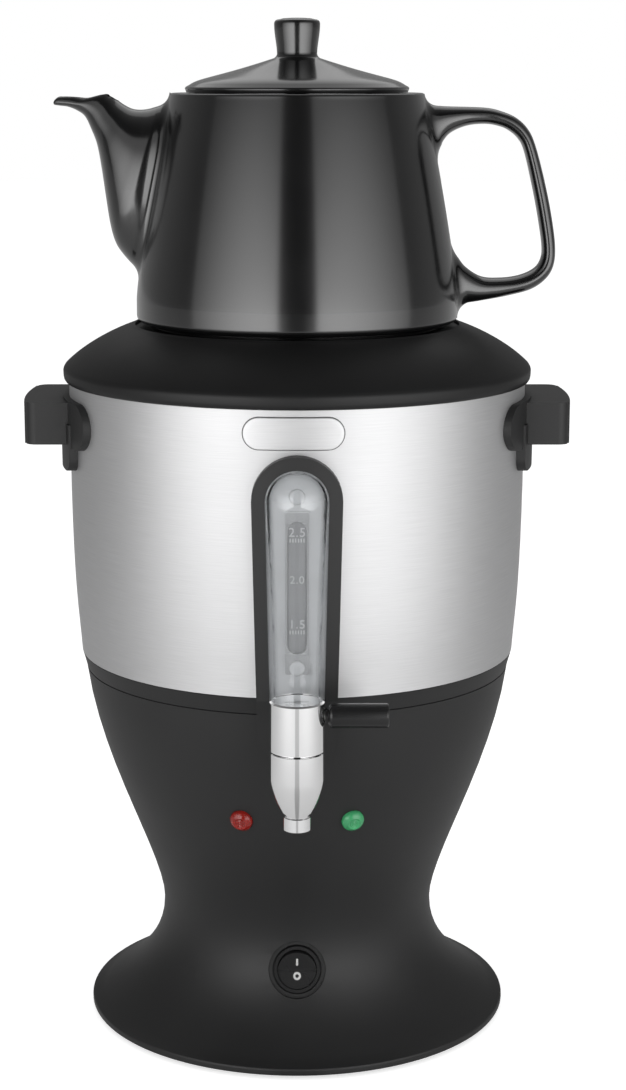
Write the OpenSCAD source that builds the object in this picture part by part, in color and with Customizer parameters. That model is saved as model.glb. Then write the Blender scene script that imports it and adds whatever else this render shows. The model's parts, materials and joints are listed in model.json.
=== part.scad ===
// Electric samovar: steel water tank on a flared base, with a tap, a water gauge and a teapot on top.
// The front of the object faces -Y. The origin is the centre of the circle that the feet stand on.

/* [Base housing] */
// Height at which the feet hold the housing above the table
foot_gap = 2; // [1:0.25:4]
// Radius of the foot's upright rim
foot_r = 98.9; // [94:0.1:104]
// Height of the foot's upright rim
foot_rim_h = 2.6; // [2:0.1:4]
// Radius of the waist
waist_r = 63.7; // [60:0.1:67]
// Height of the waist above the table
waist_z = 52; // [47:0.5:57]
// How much smaller the radius of the bowl's top edge is than the steel wall's at its foot
bowl_inset = 2.1; // [1:0.1:4]
// Height of the bowl's top edge above the table
bowl_z = 168.6; // [162:0.1:175]
// Wall of the base housing
housing_wall = 2.6; // [2:0.1:3.4]

/* [Bottom plate and feet] */
// Thickness of the bottom plate
plate_t = 2.4; // [2:0.1:3]
// Radius on which the feet stand
feet_circle_r = 84; // [80:0.5:86]
// Radius of one rubber foot
foot_pad_r = 8; // [6:0.5:9]
// Number of vent slots in the bottom plate
vent_count = 18; // [8:1:24]
// Radius of the circle of bottom plate screws
plate_screw_circle_r = 72; // [68:0.5:74]

/* [Waist ring and tank] */
// Height of the waist ring
ring_h = 8.2; // [6:0.1:11]
// Radius of the steel wall at its top
tank_r = 104.6; // [98:0.1:112]
// How much smaller the radius of the steel wall is at its foot
tank_taper = 3.8; // [2:0.1:6]
// Height of the steel wall above the waist ring
tank_h = 131; // [124:0.5:138]
// Thickness of the tank's steel
tank_wall = 1; // [0.6:0.1:1.4]
// Inset of the tank's floor step, which drops into the waist ring
tank_step_in = 4.6; // [4:0.1:7]
// Depth of the tank's floor below the waist ring's top
tank_step_h = 5; // [3:0.1:6]
// Inward width of the rolled top edge of the tank
tank_bead = 2; // [1.6:0.1:3]

/* [Tank lid] */
// Width by which the lid's rim stands out beyond the steel wall
lid_rim_t = 2.6; // [2.4:0.1:5]
// Height of the lid's rim
lid_rim_h = 7.8; // [6.5:0.1:10]
// Overlap of the lid's rim down over the steel wall
lid_overlap = 5.4; // [4:0.1:7]
// Height of the dome above the rim
lid_dome_h = 17.6; // [14:0.1:22]
// Wall of the tank lid
lid_wall = 2.4; // [2:0.1:3]
// Radius of the recess that the teapot stands in
pot_recess_r = 74; // [73.5:0.1:78]
// Depth of the recess that the teapot stands in
pot_recess_h = 1.6; // [1:0.1:2.5]
// Radius of the steam opening under the teapot
steam_r = 42; // [34:0.5:50]
// Depth of the collar that locates the lid inside the tank
lid_collar_h = 7; // [5:0.5:12]

/* [Teapot] */
// Height of the teapot's body from its foot ring to its rim
pot_h = 104.5; // [98:0.5:112]
// Radius of the teapot's belly, near its bottom
pot_belly_r = 73.3; // [71:0.1:73.4]
// Radius of the teapot's rim
pot_rim_r = 57.3; // [54:0.1:60]
// Wall of the teapot
pot_wall = 4.4; // [3.5:0.1:5.5]
// Radius of the teapot's mouth
pot_mouth_r = 45.8; // [42:0.1:48]
// Radius of the foot ring that the teapot stands on
pot_foot_r = 66; // [60:0.5:68]
// Height of the foot ring
pot_foot_h = 2; // [1.5:0.1:3]
// Wall of the spout
spout_wall = 2.6; // [2:0.1:3.4]
// Radius of one strainer hole behind the spout
strainer_hole_r = 1.7; // [1.2:0.1:2.2]

/* [Teapot lid] */
// Radius of the teapot lid's flange
cap_r = 50.4; // [49:0.1:52]
// Thickness of the flange's upright edge
cap_edge_h = 2.2; // [1.5:0.1:3]
// Height of the teapot lid's cone above its flange
cap_cone_h = 13; // [10:0.1:16]
// Depth of the skirt that locates the teapot lid
cap_skirt_h = 9; // [6:0.5:14]
// Wall of the teapot lid
cap_wall = 3.6; // [3:0.1:4.5]
// Radius of the knob at its top
knob_r = 10.3; // [9.5:0.1:12]
// Radius of the knob at its neck
knob_neck_r = 9; // [8:0.1:9.4]
// Height of the knob above the cone
knob_h = 17.5; // [14:0.1:22]

/* [Side handles] */
// Reach of the grip beyond the steel wall
grip_reach = 20; // [16:0.1:26]
// Width of the grip from front to back
grip_w = 62; // [54:0.5:70]
// Height of the grip
grip_h = 19; // [16:0.1:22]
// Height of the grip's middle below the top of the steel wall
grip_drop = 22.4; // [20:0.1:26]
// Width of the wrap plate from front to back
wrap_w = 104; // [94:0.5:112]
// Thickness of the wrap plate
wrap_t = 3; // [2.4:0.1:3.6]
// Length of the tongue below the grip
tongue_h = 12; // [8:0.1:16]
// Width of the tongue from front to back
tongue_w = 72; // [60:0.5:76]
// Thickness of the tongue
tongue_t = 3.9; // [3:0.1:4.5]

/* [Water gauge] */
// Width of the gauge frame at its arch
gauge_w = 38.7; // [37:0.1:41]
// Width of the gauge frame at its lower end
gauge_low_w = 34; // [33:0.1:36]
// Width of the frame's bar at the arch
gauge_bar = 5.9; // [5.4:0.1:6.4]
// Height of the frame's top below the top of the steel wall
gauge_drop = 24.4; // [20:0.1:30]
// Height of the frame from end to end
gauge_h = 135.4; // [130:0.1:138]
// Depth by which the frame stands out of the wall
gauge_depth = 5.4; // [5.2:0.1:7]
// Wall of the clear cover
cover_wall = 1.5; // [1.2:0.1:2]
// Width of the level strip
strip_w = 9.9; // [9:0.1:11]
// Width of the slot in the level strip
slot_w = 8.3; // [7:0.1:8.6]
// Length of the slot in the level strip
slot_h = 58; // [50:0.5:64]

/* [Tap] */
// Gap between the gauge cover and the round body of the tap
tap_gap = 1.8; // [0.8:0.1:10]
// Radius of the tap
tap_r = 11.6; // [11:0.1:12.4]
// Depth of the seam between tap body and tap head below the bowl's top edge
tap_drop = 7.9; // [6:0.1:11]
// Height of the tap head
tap_head_h = 22.1; // [18:0.1:26]
// Height of the tap body's upright part
tap_barrel_h = 12.1; // [11.5:0.1:14]
// Height of the tap body's tapered part
tap_taper_h = 16.4; // [15:0.1:19]
// Radius of the nozzle
nozzle_r = 5.8; // [5.5:0.1:6.6]
// Height of the nozzle
nozzle_h = 6.5; // [5:0.1:9]
// Radius of the plug that turns in the tap body
plug_r = 6.9; // [6.4:0.1:7.4]
// Radius of the water way
bore_r = 2.6; // [2:0.1:2.9]
// Radius of the inlet tail
tail_r = 3.6; // [3.4:0.1:3.8]
// Radius of the lever
lever_r = 5.2; // [4.6:0.1:5.8]
// Distance from the tap's axis to the lever's end
lever_reach = 38.6; // [32:0.1:46]
// Height of the lever's axis above the seam
lever_rise = 15.3; // [12:0.1:16]

/* [Switch, lamps and gland] */
// Height of the switch above the table
switch_z = 39; // [36:0.1:42]
// Radius of the round pocket around the switch
switch_pocket_r = 13.1; // [12.4:0.1:14]
// Radius of the switch's bezel
bezel_r = 11.25; // [10.8:0.05:11.8]
// Radius of the ball that the rocker is cut from
rocker_r = 8.9; // [8.4:0.1:9.2]
// Angle through which the rocker tilts
rocker_swing = 22; // [14:1:24]
// Height of the pilot lamps above the table
lamp_z = 115.7; // [110:0.1:120]
// Distance of each pilot lamp from the middle
lamp_x = 24.6; // [20:0.1:30]
// Radius of a pilot lamp's lens
lens_r = 5.1; // [4.5:0.1:6]
// Height of the cord gland above the table
gland_z = 54; // [50:0.5:60]
// Radius of the cord's hole in the gland
gland_bore_r = 3.3; // [2.8:0.1:4]

/* [Heater] */
// Radius of the heater plate under the tank
heater_r = 60; // [54:0.5:70]
// Thickness of the heater plate
heater_t = 4; // [3:0.1:6]
// Radius of the ring into which the heating element is bent
element_ring_r = 44; // [38:0.5:50]
// Radius of the heating element's tube
element_r = 3.6; // [3:0.1:4.2]
// Radius of the boil thermostat
thermostat_r = 9; // [8:0.1:10]
// Height of the boil thermostat
thermostat_h = 11; // [9:0.1:14]

/* [Fits] */
// Gap between pieces that lift apart
seat_gap = 0.3; // [0.2:0.05:0.5]
// Running clearance of a shaft in its hole
running_gap = 0.06; // [0.03:0.01:0.1]
// Clearance between pieces that are assembled once
fit_gap = 0.15; // [0.1:0.05:0.25]
// Radius of an M3 screw's shank
screw_r = 1.5; // [1.25:0.05:1.75]
// Depth to which the screws bite into their bosses
screw_bite = 8; // [6:0.5:10]

/* [Hidden] */
$fn = 72;

curve_steps = 12;
round_steps = 6;
through = 1;

// Radii that follow the tank
tank_foot_r = tank_r - tank_taper;
tank_step_r = tank_foot_r - tank_step_in;
bowl_r = tank_foot_r - bowl_inset;
lid_rim_r = tank_r + lid_rim_t;

// Heights above the table
ring_top_z = bowl_z + ring_h;
tank_floor_z = ring_top_z - tank_step_h;
tank_top_z = ring_top_z + tank_h;
tap_seam_z = bowl_z - tap_drop;
lid_seal_t = 1.2;
lid_shelf_z = tank_top_z + seat_gap + lid_seal_t;
lid_rim_z = tank_top_z - lid_overlap;
lid_top_z = lid_rim_z + lid_rim_h + lid_dome_h;
recess_z = lid_top_z - pot_recess_h;
pot_z = recess_z + seat_gap;
pot_rim_z = pot_z + pot_h;
cap_z = pot_rim_z + seat_gap;
cone_top_z = cap_z + cap_edge_h + cap_cone_h;
grip_z = tank_top_z - grip_drop;

// ---- Curves ----

function bezier(a, b, c, d, steps = curve_steps) = [
    for (i = [0 : steps])
        let (t = i / steps, s = 1 - t)
        s * s * s * a + 3 * s * s * t * b + 3 * s * t * t * c + t * t * t * d
];

function arc(centre, r, from, to, steps = round_steps) = [
    for (i = [0 : steps])
        let (w = from + (to - from) * i / steps)
        centre + r * [cos(w), sin(w)]
];

function reversed(list) = [for (i = [len(list) - 1 : -1 : 0]) list[i]];

function unit(v) = v / norm(v);

// The outline moved by d to the left of its direction of travel
function beside(p, d) = [
    for (i = [0 : len(p) - 1])
        let (
            before = unit(p[max(i, 1)] - p[max(i, 1) - 1]),
            after = unit(p[min(i, len(p) - 2) + 1] - p[min(i, len(p) - 2)]),
            middle = unit(before + after)
        )
        p[i] + d / (middle * after) * [-middle.y, middle.x]
];

// Radius of an outline of [radius, height] points at a height
function radius_at(outline, z) = lookup(z, [for (p = outline) [p.y, p.x]]);

// Distance from the axis at which a flat disc of radius r meets the housing's inner face
function inner_seat(z, x, r) =
    sqrt(pow(radius_at(inner_outline, z - r), 2) - pow(x + r, 2)) - fit_gap / 3;

// Downward lean of an outline's outward normal at a height, in degrees
function lean_at(outline, z) = atan((radius_at(outline, z + 1) - radius_at(outline, z - 1)) / 2);

// Points of a Catmull-Rom curve through rows of numbers
function smooth(rows, steps) = [
    for (i = [0 : len(rows) - 2], j = [0 : steps - 1])
        let (
            t = j / steps,
            a = rows[max(i - 1, 0)],
            b = rows[i],
            c = rows[i + 1],
            d = rows[min(i + 2, len(rows) - 1)]
        )
        b + t / 2 * (c - a + t * (2 * a - 5 * b + 4 * c - d + t * (3 * b - a - 3 * c + d))),
    rows[len(rows) - 1]
];

// A ring of points around the line from a to b in the XZ plane, with a half width along Y
function ring_between(a, b, half_w, sides, square) = [
    for (i = [0 : sides - 1])
        let (
            w = 360 * i / sides,
            u = sign(cos(w)) * pow(abs(cos(w)), square),
            v = sign(sin(w)) * pow(abs(sin(w)), square),
            m = (a + b) / 2 + u * (b - a) / 2
        )
        [m.x, half_w * v, m.y]
];

// A closed skin through rings of equally many points
module loft(rings) {
    n = len(rings[0]);
    last = len(rings) - 1;
    points = [for (r = rings) each r];
    sides = [
        for (k = [0 : last - 1], i = [0 : n - 1])
            let (j = (i + 1) % n)
            each [
                [k * n + j, k * n + i, (k + 1) * n + i],
                [(k + 1) * n + j, k * n + j, (k + 1) * n + i]
            ]
    ];
    start = [for (i = [0 : n - 1]) i];
    end = [for (i = [n - 1 : -1 : 0]) last * n + i];
    polyhedron(points, concat([start], sides, [end]), convexity = 6);
}

// ---- Outlines of the body, as [radius, height] ----

rim_edge = 0.8;
flare_z = foot_gap + foot_rim_h + 2.4;
flare_r = foot_r - 4.6;
foot_outline = concat(
    arc([foot_r - rim_edge, foot_gap + rim_edge], rim_edge, -90, 0),
    arc([foot_r - 2 * rim_edge, foot_gap + foot_rim_h - rim_edge / 2], 2 * rim_edge, 0, 40)
);
flare_outline = bezier(
    [flare_r, flare_z], [flare_r - 5.6, flare_z + 3.8],
    [waist_r, waist_z - 28], [waist_r, waist_z]
);
bowl_outline = bezier(
    [waist_r, waist_z], [waist_r, waist_z + 23],
    [bowl_r - 6.3, bowl_z - 49], [bowl_r, bowl_z]
);
upper_outline = [for (i = [1 : curve_steps]) bowl_outline[i]];
housing_outline = concat(foot_outline, flare_outline, upper_outline);
ring_r = tank_foot_r - 0.1;
steel_outline = bezier(
    [tank_foot_r, ring_top_z], [tank_foot_r + 1.5, ring_top_z + 22],
    [tank_r, ring_top_z + 28], [tank_r, ring_top_z + 113]
);
wall_outline = concat(upper_outline, [[ring_r, ring_top_z - 0.1]], steel_outline, [[tank_r, tank_top_z]]);

// The outer wall grown by d, from the lower end of the gauge to the top of the tank
module wall_solid(d) {
    low = gauge_bottom_z - 12;
    side = [for (p = wall_outline) if (p.y > low) p + [d, 0]];
    rotate_extrude()
        polygon(concat([[0, low], [radius_at(wall_outline, low) + d, low]], side, [[0, tank_top_z]]));
}

// ---- Base ----

screw_count = 4;
lug_r = bowl_r - 12.7;
lug_z = bowl_z - 16;
lug_t = 4;
boss_r = 4.2;

function around(count, turn = 0) = [for (i = [0 : count - 1]) turn + 360 * i / count];

// Inner face of the housing, from the pocket of the bottom plate up to the bowl's top edge
wall_or_flare = concat(flare_outline, upper_outline);
raw_inner = beside(wall_or_flare, housing_wall);
inner_outline = concat(
    [for (p = raw_inner) if (p.y < bowl_z - 0.1) p],
    [[radius_at(raw_inner, bowl_z), bowl_z]]
);
pocket_r = inner_outline[0].x;
plate_top_z = inner_outline[0].y;
plate_z = plate_top_z - plate_t;

// The housing's filled shape, which trims what is moulded inside it
module housing_filled() {
    rotate_extrude()
        polygon(concat([[0, foot_gap]], housing_outline, [[0, bowl_z]]));
}

module housing_shell() {
    rotate_extrude()
        polygon(concat(housing_outline, reversed(inner_outline), [[pocket_r, foot_gap]]));
}

// Points out of the housing's wall at a height, with its own +Z along the wall's normal
module on_wall(z, x = 0, lean = 0) {
    r = radius_at(wall_or_flare, z);
    turn = asin(x / r);
    rotate([0, 0, turn])
        translate([0, -r, z])
            rotate([90 + lean, 0, 0])
                children();
}

switch_lean = -lean_at(wall_or_flare, switch_z);
lamp_lean = -lean_at(wall_or_flare, lamp_z);
pocket_depth = 2;
pocket_floor = 2.4;
switch_hole_r = 9.9;
lens_stem_r = lens_r - 1.1;
lens_seat = 0.5;
gland_neck_r = gland_bore_r + 2.2;
gland_flange_r = gland_neck_r + 2.6;
gland_seat_y = radius_at(wall_or_flare, gland_z);

module base_housing() {
    color("#2b2b2c")
    difference() {
        union() {
            housing_shell();
            intersection() {
                housing_filled();
                union() {
                    for (w = around(screw_count, 45))
                        rotate([0, 0, w])
                            translate([plate_screw_circle_r, 0, plate_top_z])
                                cylinder(r = boss_r, h = waist_z);
                    for (w = around(screw_count, 45))
                        rotate([0, 0, w])
                            translate([lug_r - boss_r, -boss_r - 1, lug_z])
                                cube([30, 2 * boss_r + 2, lug_t]);
                    on_wall(switch_z, 0, -switch_lean)
                        translate([0, 0, -pocket_depth - pocket_floor])
                            cylinder(r = switch_pocket_r + 1.8, h = 2 * pocket_depth + pocket_floor);
                }
            }
        }
        for (w = around(screw_count, 45))
            rotate([0, 0, w]) {
                translate([plate_screw_circle_r, 0, plate_top_z - through])
                    cylinder(r = screw_r, h = screw_bite + 1 + through);
                translate([lug_r, 0, lug_z - through])
                    cylinder(r = screw_r + fit_gap, h = lug_t + 2 * through);
            }
        on_wall(switch_z, 0, -switch_lean) {
            translate([0, 0, -pocket_depth])
                cylinder(r = switch_pocket_r, h = 10);
            translate([0, 0, -20])
                cylinder(r = switch_hole_r + fit_gap, h = 30);
        }
        for (side = [-1, 1])
            on_wall(lamp_z, side * lamp_x, -lamp_lean) {
                translate([0, 0, -lens_seat])
                    cylinder(r = lens_r + fit_gap, h = 4);
                translate([0, 0, -8])
                    cylinder(r = lens_stem_r + fit_gap, h = 12);
            }
        translate([0, -wall_r_tap, tap_inlet_z])
            rotate([-90, 0, 0])
                translate([0, 0, -6])
                    cylinder(r = tail_r + fit_gap, h = 14);
        for (side = [-1, 1])
            translate([side * gauge_low_screw_x, -wall_r_tap - 4, gauge_low_screw_z])
                rotate([-90, 0, 0])
                    cylinder(r = gauge_screw_r + fit_gap, h = 14);
        translate([0, gland_seat_y, gland_z])
            rotate([-90, 0, 0]) {
                cylinder(r = gland_flange_r + fit_gap, h = 10);
                translate([0, 0, -10])
                    cylinder(r = gland_neck_r + fit_gap, h = 20);
            }
    }
}

module bottom_plate() {
    vent_l = 26;
    vent_w = 4;
    color("#242425")
    difference() {
        translate([0, 0, plate_z])
            cylinder(r = pocket_r - seat_gap, h = plate_t);
        for (w = around(vent_count))
            rotate([0, 0, w])
                translate([26, -vent_w / 2, plate_z - through])
                    cube([vent_l, vent_w, plate_t + 2 * through]);
        for (w = around(screw_count, 45))
            rotate([0, 0, w])
                translate([plate_screw_circle_r, 0, plate_z - through])
                    cylinder(r = screw_r + fit_gap, h = plate_t + 2 * through);
        for (w = around(4))
            rotate([0, 0, w])
                translate([feet_circle_r, 0, plate_z - through])
                    cylinder(r = foot_pin_r, h = plate_t + 2 * through);
    }
}

foot_pin_r = 2.5;

module rubber_feet() {
    color("#1c1c1c")
    for (w = around(4))
        rotate([0, 0, w])
            translate([feet_circle_r, 0, 0])
                rotate_extrude()
                    polygon([
                        [0, 0], [foot_pad_r - 0.8, 0], [foot_pad_r, 0.8], [foot_pad_r, plate_z],
                        [foot_pin_r - fit_gap, plate_z], [foot_pin_r - fit_gap, plate_top_z], [0, plate_top_z]
                    ]);
}

// A pan-head screw that points up, with its head's top face at z = 0
module screw(r, length, head_r, head_h) {
    translate([0, 0, -head_h])
        cylinder(r = head_r, h = head_h);
    cylinder(r = r, h = length);
}

module base_screws() {
    color("#b8b8ba")
    for (w = around(screw_count, 45))
        rotate([0, 0, w])
            translate([plate_screw_circle_r, 0, plate_z])
                screw(screw_r - 0.05, plate_t + screw_bite, 2.8, 1.6);
}

spigot_t = 2.4;
spigot_h = 7;
spigot_r = radius_at(upper_outline, bowl_z - spigot_h) - housing_wall - seat_gap - 0.5;
ledge_r = tank_step_r - 16.2;

module waist_ring() {
    socket_r = tank_step_r + fit_gap;
    ledge_z = tank_floor_z - fit_gap;
    color("#2b2b2c")
    difference() {
        union() {
            rotate_extrude()
                polygon([
                    [spigot_r, bowl_z - spigot_h], [spigot_r, bowl_z], [bowl_r - 0.5, bowl_z],
                    [bowl_r, bowl_z + 0.5], [ring_r, ring_top_z - 0.4], [ring_r - 0.4, ring_top_z],
                    [socket_r, ring_top_z], [socket_r, ledge_z], [ledge_r, ledge_z],
                    [ledge_r, ledge_z - 3], [spigot_r - spigot_t, ledge_z - 3],
                    [spigot_r - spigot_t, bowl_z - spigot_h]
                ]);
            for (w = around(screw_count, 45))
                rotate([0, 0, w])
                    translate([lug_r, 0, lug_z + lug_t])
                        cylinder(r = boss_r, h = ledge_z - 2 - lug_z - lug_t);
        }
        for (w = around(screw_count, 45))
            rotate([0, 0, w])
                translate([lug_r, 0, lug_z + lug_t - through])
                    cylinder(r = screw_r, h = screw_bite + 1 + through);
        translate([0, -wall_r_tap, tap_inlet_z])
            rotate([-90, 0, 0])
                cylinder(r = nut_flange_r + 0.6, h = 16);
    }
}

module ring_screws() {
    color("#b8b8ba")
    for (w = around(screw_count, 45))
        rotate([0, 0, w])
            translate([lug_r, 0, lug_z])
                screw(screw_r - 0.05, lug_t + screw_bite, 2.8, 1.6);
}

// ---- Tank and heater ----

// The drawn steel from the middle of the floor up to the top edge
tank_outline = concat(
    [[0, tank_floor_z]],
    arc([tank_step_r - 4, tank_floor_z + 4], 4, -90, 0),
    [[tank_step_r, ring_top_z]],
    steel_outline,
    [[tank_r, tank_top_z]]
);
water_low_z = ring_top_z + 15.2;
water_high_z = tank_top_z - 41.8;
water_hole_r = 1.9;

module tank() {
    color("#c4c4c6")
    difference() {
        union() {
            rotate_extrude()
                polygon(concat(tank_outline, reversed(beside(tank_outline, tank_wall))));
            translate([0, 0, tank_top_z - tank_bead])
                difference() {
                    cylinder(r = tank_r - tank_wall / 2, h = tank_bead);
                    translate([0, 0, -through])
                        cylinder(r = tank_r - tank_bead, h = tank_bead + 2 * through);
                }
        }
        for (z = [water_low_z, water_high_z])
            translate([0, -tank_r - 5, z])
                rotate([-90, 0, 0])
                    cylinder(r = water_hole_r, h = tank_taper + 9);
        translate([0, -tank_r - 5, gauge_top_screw_z])
            rotate([-90, 0, 0])
                cylinder(r = gauge_screw_r + fit_gap, h = 12);
        for (side = [-1, 1], y = [-1, 1])
            translate([side * tank_r, y * handle_screw_y, grip_z])
                rotate([0, 90, 0])
                    translate([0, 0, -12])
                        cylinder(r = handle_screw_r + fit_gap, h = 24);
    }
}

module heater_plate() {
    color("#a9abad")
    translate([0, 0, tank_floor_z - heater_t])
        cylinder(r = heater_r, h = heater_t);
}

element_z = tank_floor_z - heater_t - element_r - fit_gap;
element_span = 310;

module heating_element() {
    lead_h = 14;
    color("#8d7f74") {
        rotate([0, 0, -90 + (360 - element_span) / 2])
            translate([0, 0, element_z])
                rotate_extrude(angle = element_span)
                    translate([element_ring_r, 0])
                        circle(r = element_r);
        for (side = [-1, 1])
            rotate([0, 0, -90 + side * (360 - element_span) / 2])
                translate([element_ring_r, 0, element_z]) {
                    sphere(r = element_r);
                    translate([0, 0, -lead_h])
                        cylinder(r = element_r, h = lead_h);
                    translate([0, 0, -lead_h - 6])
                        cylinder(r = 1.4, h = 7);
                }
    }
}

// A disc thermostat that hangs under the heater plate, with two blade terminals
module disc_sensor(r, h) {
    translate([0, 0, -h * 0.4])
        cylinder(r = r, h = h * 0.4);
    translate([0, 0, -h])
        cylinder(r = r * 0.78, h = h);
    for (side = [-1, 1])
        translate([side * r * 0.45 - 0.4, -3.1, -h - 6])
            cube([0.8, 6.2, 7]);
}

// The strap's far corners and both sensors lie inside the element's ring
cutout_r = thermostat_r - 1.6;
strap_w = 2 * thermostat_r + 5;
strap_right = sqrt(pow(element_ring_r - element_r - 1, 2) - pow(strap_w / 2, 2));
cutout_x = strap_right - cutout_r - 3;
sensor_z = tank_floor_z - heater_t;

module thermostat() {
    color("#6f5b48")
    translate([0, 0, sensor_z])
        disc_sensor(thermostat_r, thermostat_h);
}

module thermal_cutout() {
    color("#d9d4c8")
    translate([cutout_x, 0, sensor_z])
        disc_sensor(cutout_r, thermostat_h - 2);
}

// A pressed strap with its two ends on the heater plate and a hole around each sensor's boss
module sensor_bracket() {
    strap_t = 0.8;
    drop = thermostat_h * 0.4 + fit_gap;
    left = -thermostat_r - 6;
    right = strap_right;
    color("#b0b2b4")
    translate([0, 0, sensor_z])
        difference() {
            union() {
                translate([left, -strap_w / 2, -drop - strap_t])
                    cube([right - left, strap_w, strap_t]);
                for (x = [left, right - strap_t])
                    translate([x, -strap_w / 2, -drop - strap_t])
                        cube([strap_t, strap_w, drop + strap_t]);
            }
            translate([0, 0, -drop - 2])
                cylinder(r = thermostat_r * 0.78 + seat_gap, h = 4);
            translate([cutout_x, 0, -drop - 2])
                cylinder(r = cutout_r * 0.78 + seat_gap, h = 4);
        }
}

module terminal_block() {
    ways = 3;
    pitch = 11;
    length = ways * pitch;
    color("#d8d8d2")
    translate([-length / 2, 38, plate_top_z])
        difference() {
            union() {
                cube([length, 20, 5]);
                for (i = [0 : ways - 1])
                    translate([i * pitch + 1, 0, 4])
                        cube([pitch - 2, 20, 10]);
            }
            for (i = [0 : ways - 1])
                translate([(i + 0.5) * pitch, 0, 9.5]) {
                    rotate([-90, 0, 0])
                        translate([0, 0, -through])
                            cylinder(r = 2.1, h = 20 + 2 * through);
                    for (y = [5, 15])
                        translate([0, y, 0])
                            cylinder(r = 1.7, h = 8);
                }
        }
}

// Lead wires, each through points from one terminal to the next
wire_r = 1.5;
wire_gap = 0.4;
block_wire_x = 11;
block_wire_z = plate_top_z + 9.5;
sensor_blade_x = thermostat_r * 0.45;
cutout_blade_x = cutout_r * 0.45;
sensor_blade_z = sensor_z - thermostat_h - 6 - wire_gap;
element_pin_z = element_z - 20 - wire_gap;
element_pin = element_ring_r * [sin(180 - element_span / 2), -cos(180 - element_span / 2)];

function behind_switch(x, d) =
    [x, d * cos(switch_lean) - radius_at(wall_or_flare, switch_z), switch_z - d * sin(switch_lean)];

wire_runs = [
    [
        behind_switch(-5, 25 + wire_gap), behind_switch(-5, 31), [-7, -15, 24], [-9, 8, 18],
        [-block_wire_x, 28, block_wire_z], [-block_wire_x, 37, block_wire_z],
        [-block_wire_x, 47, block_wire_z]
    ],
    [
        behind_switch(5, 25 + 2 * wire_gap), behind_switch(5, 33), [6, -24, 38], [5, -14, 66],
        [0, -6, 112], [-sensor_blade_x, -0.5, sensor_blade_z - 10],
        [-sensor_blade_x, 0, sensor_blade_z]
    ],
    [
        [cutout_x + cutout_blade_x, 0, sensor_blade_z + 2],
        [cutout_x + cutout_blade_x, -1, sensor_blade_z - 5],
        [cutout_x + 3.7, -10, sensor_blade_z - 15], [cutout_x + 1, -26, sensor_blade_z - 20],
        [element_pin.x + 2, element_pin.y + 3, element_pin_z - 8],
        [element_pin.x, element_pin.y, element_pin_z]
    ],
    [
        [block_wire_x, 47, block_wire_z], [block_wire_x, 37, block_wire_z], [10.5, 27, 16],
        [7, 10, 34], [-3, -10, 72], [-13, -29, 112],
        [-element_pin.x, element_pin.y + 1.2, element_pin_z - 10],
        [-element_pin.x, element_pin.y, element_pin_z]
    ]
];
wire_jumper = [
    [sensor_blade_x, 0, sensor_blade_z], [sensor_blade_x + 0.3, 0, sensor_blade_z - 7],
    [sensor_blade_x + 5, 0, sensor_blade_z - 13],
    [cutout_x - cutout_blade_x - 6, 0, sensor_blade_z - 13],
    [cutout_x - cutout_blade_x - 0.6, 0, sensor_blade_z - 5],
    [cutout_x - cutout_blade_x, 0, sensor_blade_z + 2]
];

// Rings of points square to a path that never runs along the direction aside
function tube_rings(path, r, aside, sides = 6) = [
    for (i = [0 : len(path) - 1])
        let (
            d = unit(path[min(i + 1, len(path) - 1)] - path[max(i - 1, 0)]),
            u = unit(cross(aside, d)),
            v = cross(d, u)
        )
        [
            for (k = [0 : sides - 1])
                path[i] + r * (cos(360 * k / sides) * u + sin(360 * k / sides) * v)
        ]
];

module wires() {
    color("#d8d4c8") {
        for (run = wire_runs)
            loft(tube_rings(smooth(run, 2), wire_r, [1, 0, 0]));
        loft(tube_rings(smooth(wire_jumper, 2), wire_r, [0, 1, 0]));
    }
}

module cord_gland() {
    gland_flange_t = 2.5;
    color("#1f1f20")
    translate([0, gland_seat_y + fit_gap, gland_z])
        rotate([-90, 0, 0])
            difference() {
                union() {
                    cylinder(r1 = gland_flange_r, r2 = gland_flange_r - 1, h = gland_flange_t);
                    translate([0, 0, -housing_wall - 4])
                        cylinder(r = gland_neck_r, h = housing_wall + 5);
                    translate([0, 0, -housing_wall - 4])
                        cylinder(r1 = gland_neck_r, r2 = gland_neck_r + 1.4, h = 2.8);
                }
                translate([0, 0, -12])
                    cylinder(r = gland_bore_r, h = 20);
            }
}

// ---- Switch and lamps ----

barrel_r = switch_hole_r;
rocker_depth = 1.2;
rocker_pin_r = 1;
rocker_pin_reach = barrel_r - 0.1;

module switch_body() {
    bezel_t = 2.2;
    body_l = 16;
    color("#1b1b1c")
    on_wall(switch_z, 0, -switch_lean)
        translate([0, 0, -pocket_depth])
            difference() {
                union() {
                    cylinder(r1 = bezel_r, r2 = bezel_r - 0.8, h = bezel_t);
                    translate([0, 0, -body_l])
                        cylinder(r = barrel_r, h = body_l + 1);
                    for (x = [-5, 0, 5])
                        translate([x - 0.4, -2.4, -body_l - 7])
                            cube([0.8, 4.8, 8]);
                }
                translate([0, 0, -rocker_r - 1])
                    cylinder(r = rocker_r + running_gap + 0.1, h = rocker_r + 6);
                across(rocker_pin_r + running_gap, rocker_pin_reach + running_gap);
            }
}

// A bar along X through the rocker's pivot
module across(r, reach) {
    rotate([0, 90, 0])
        translate([0, 0, -reach])
            cylinder(r = r, h = 2 * reach);
}

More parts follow.
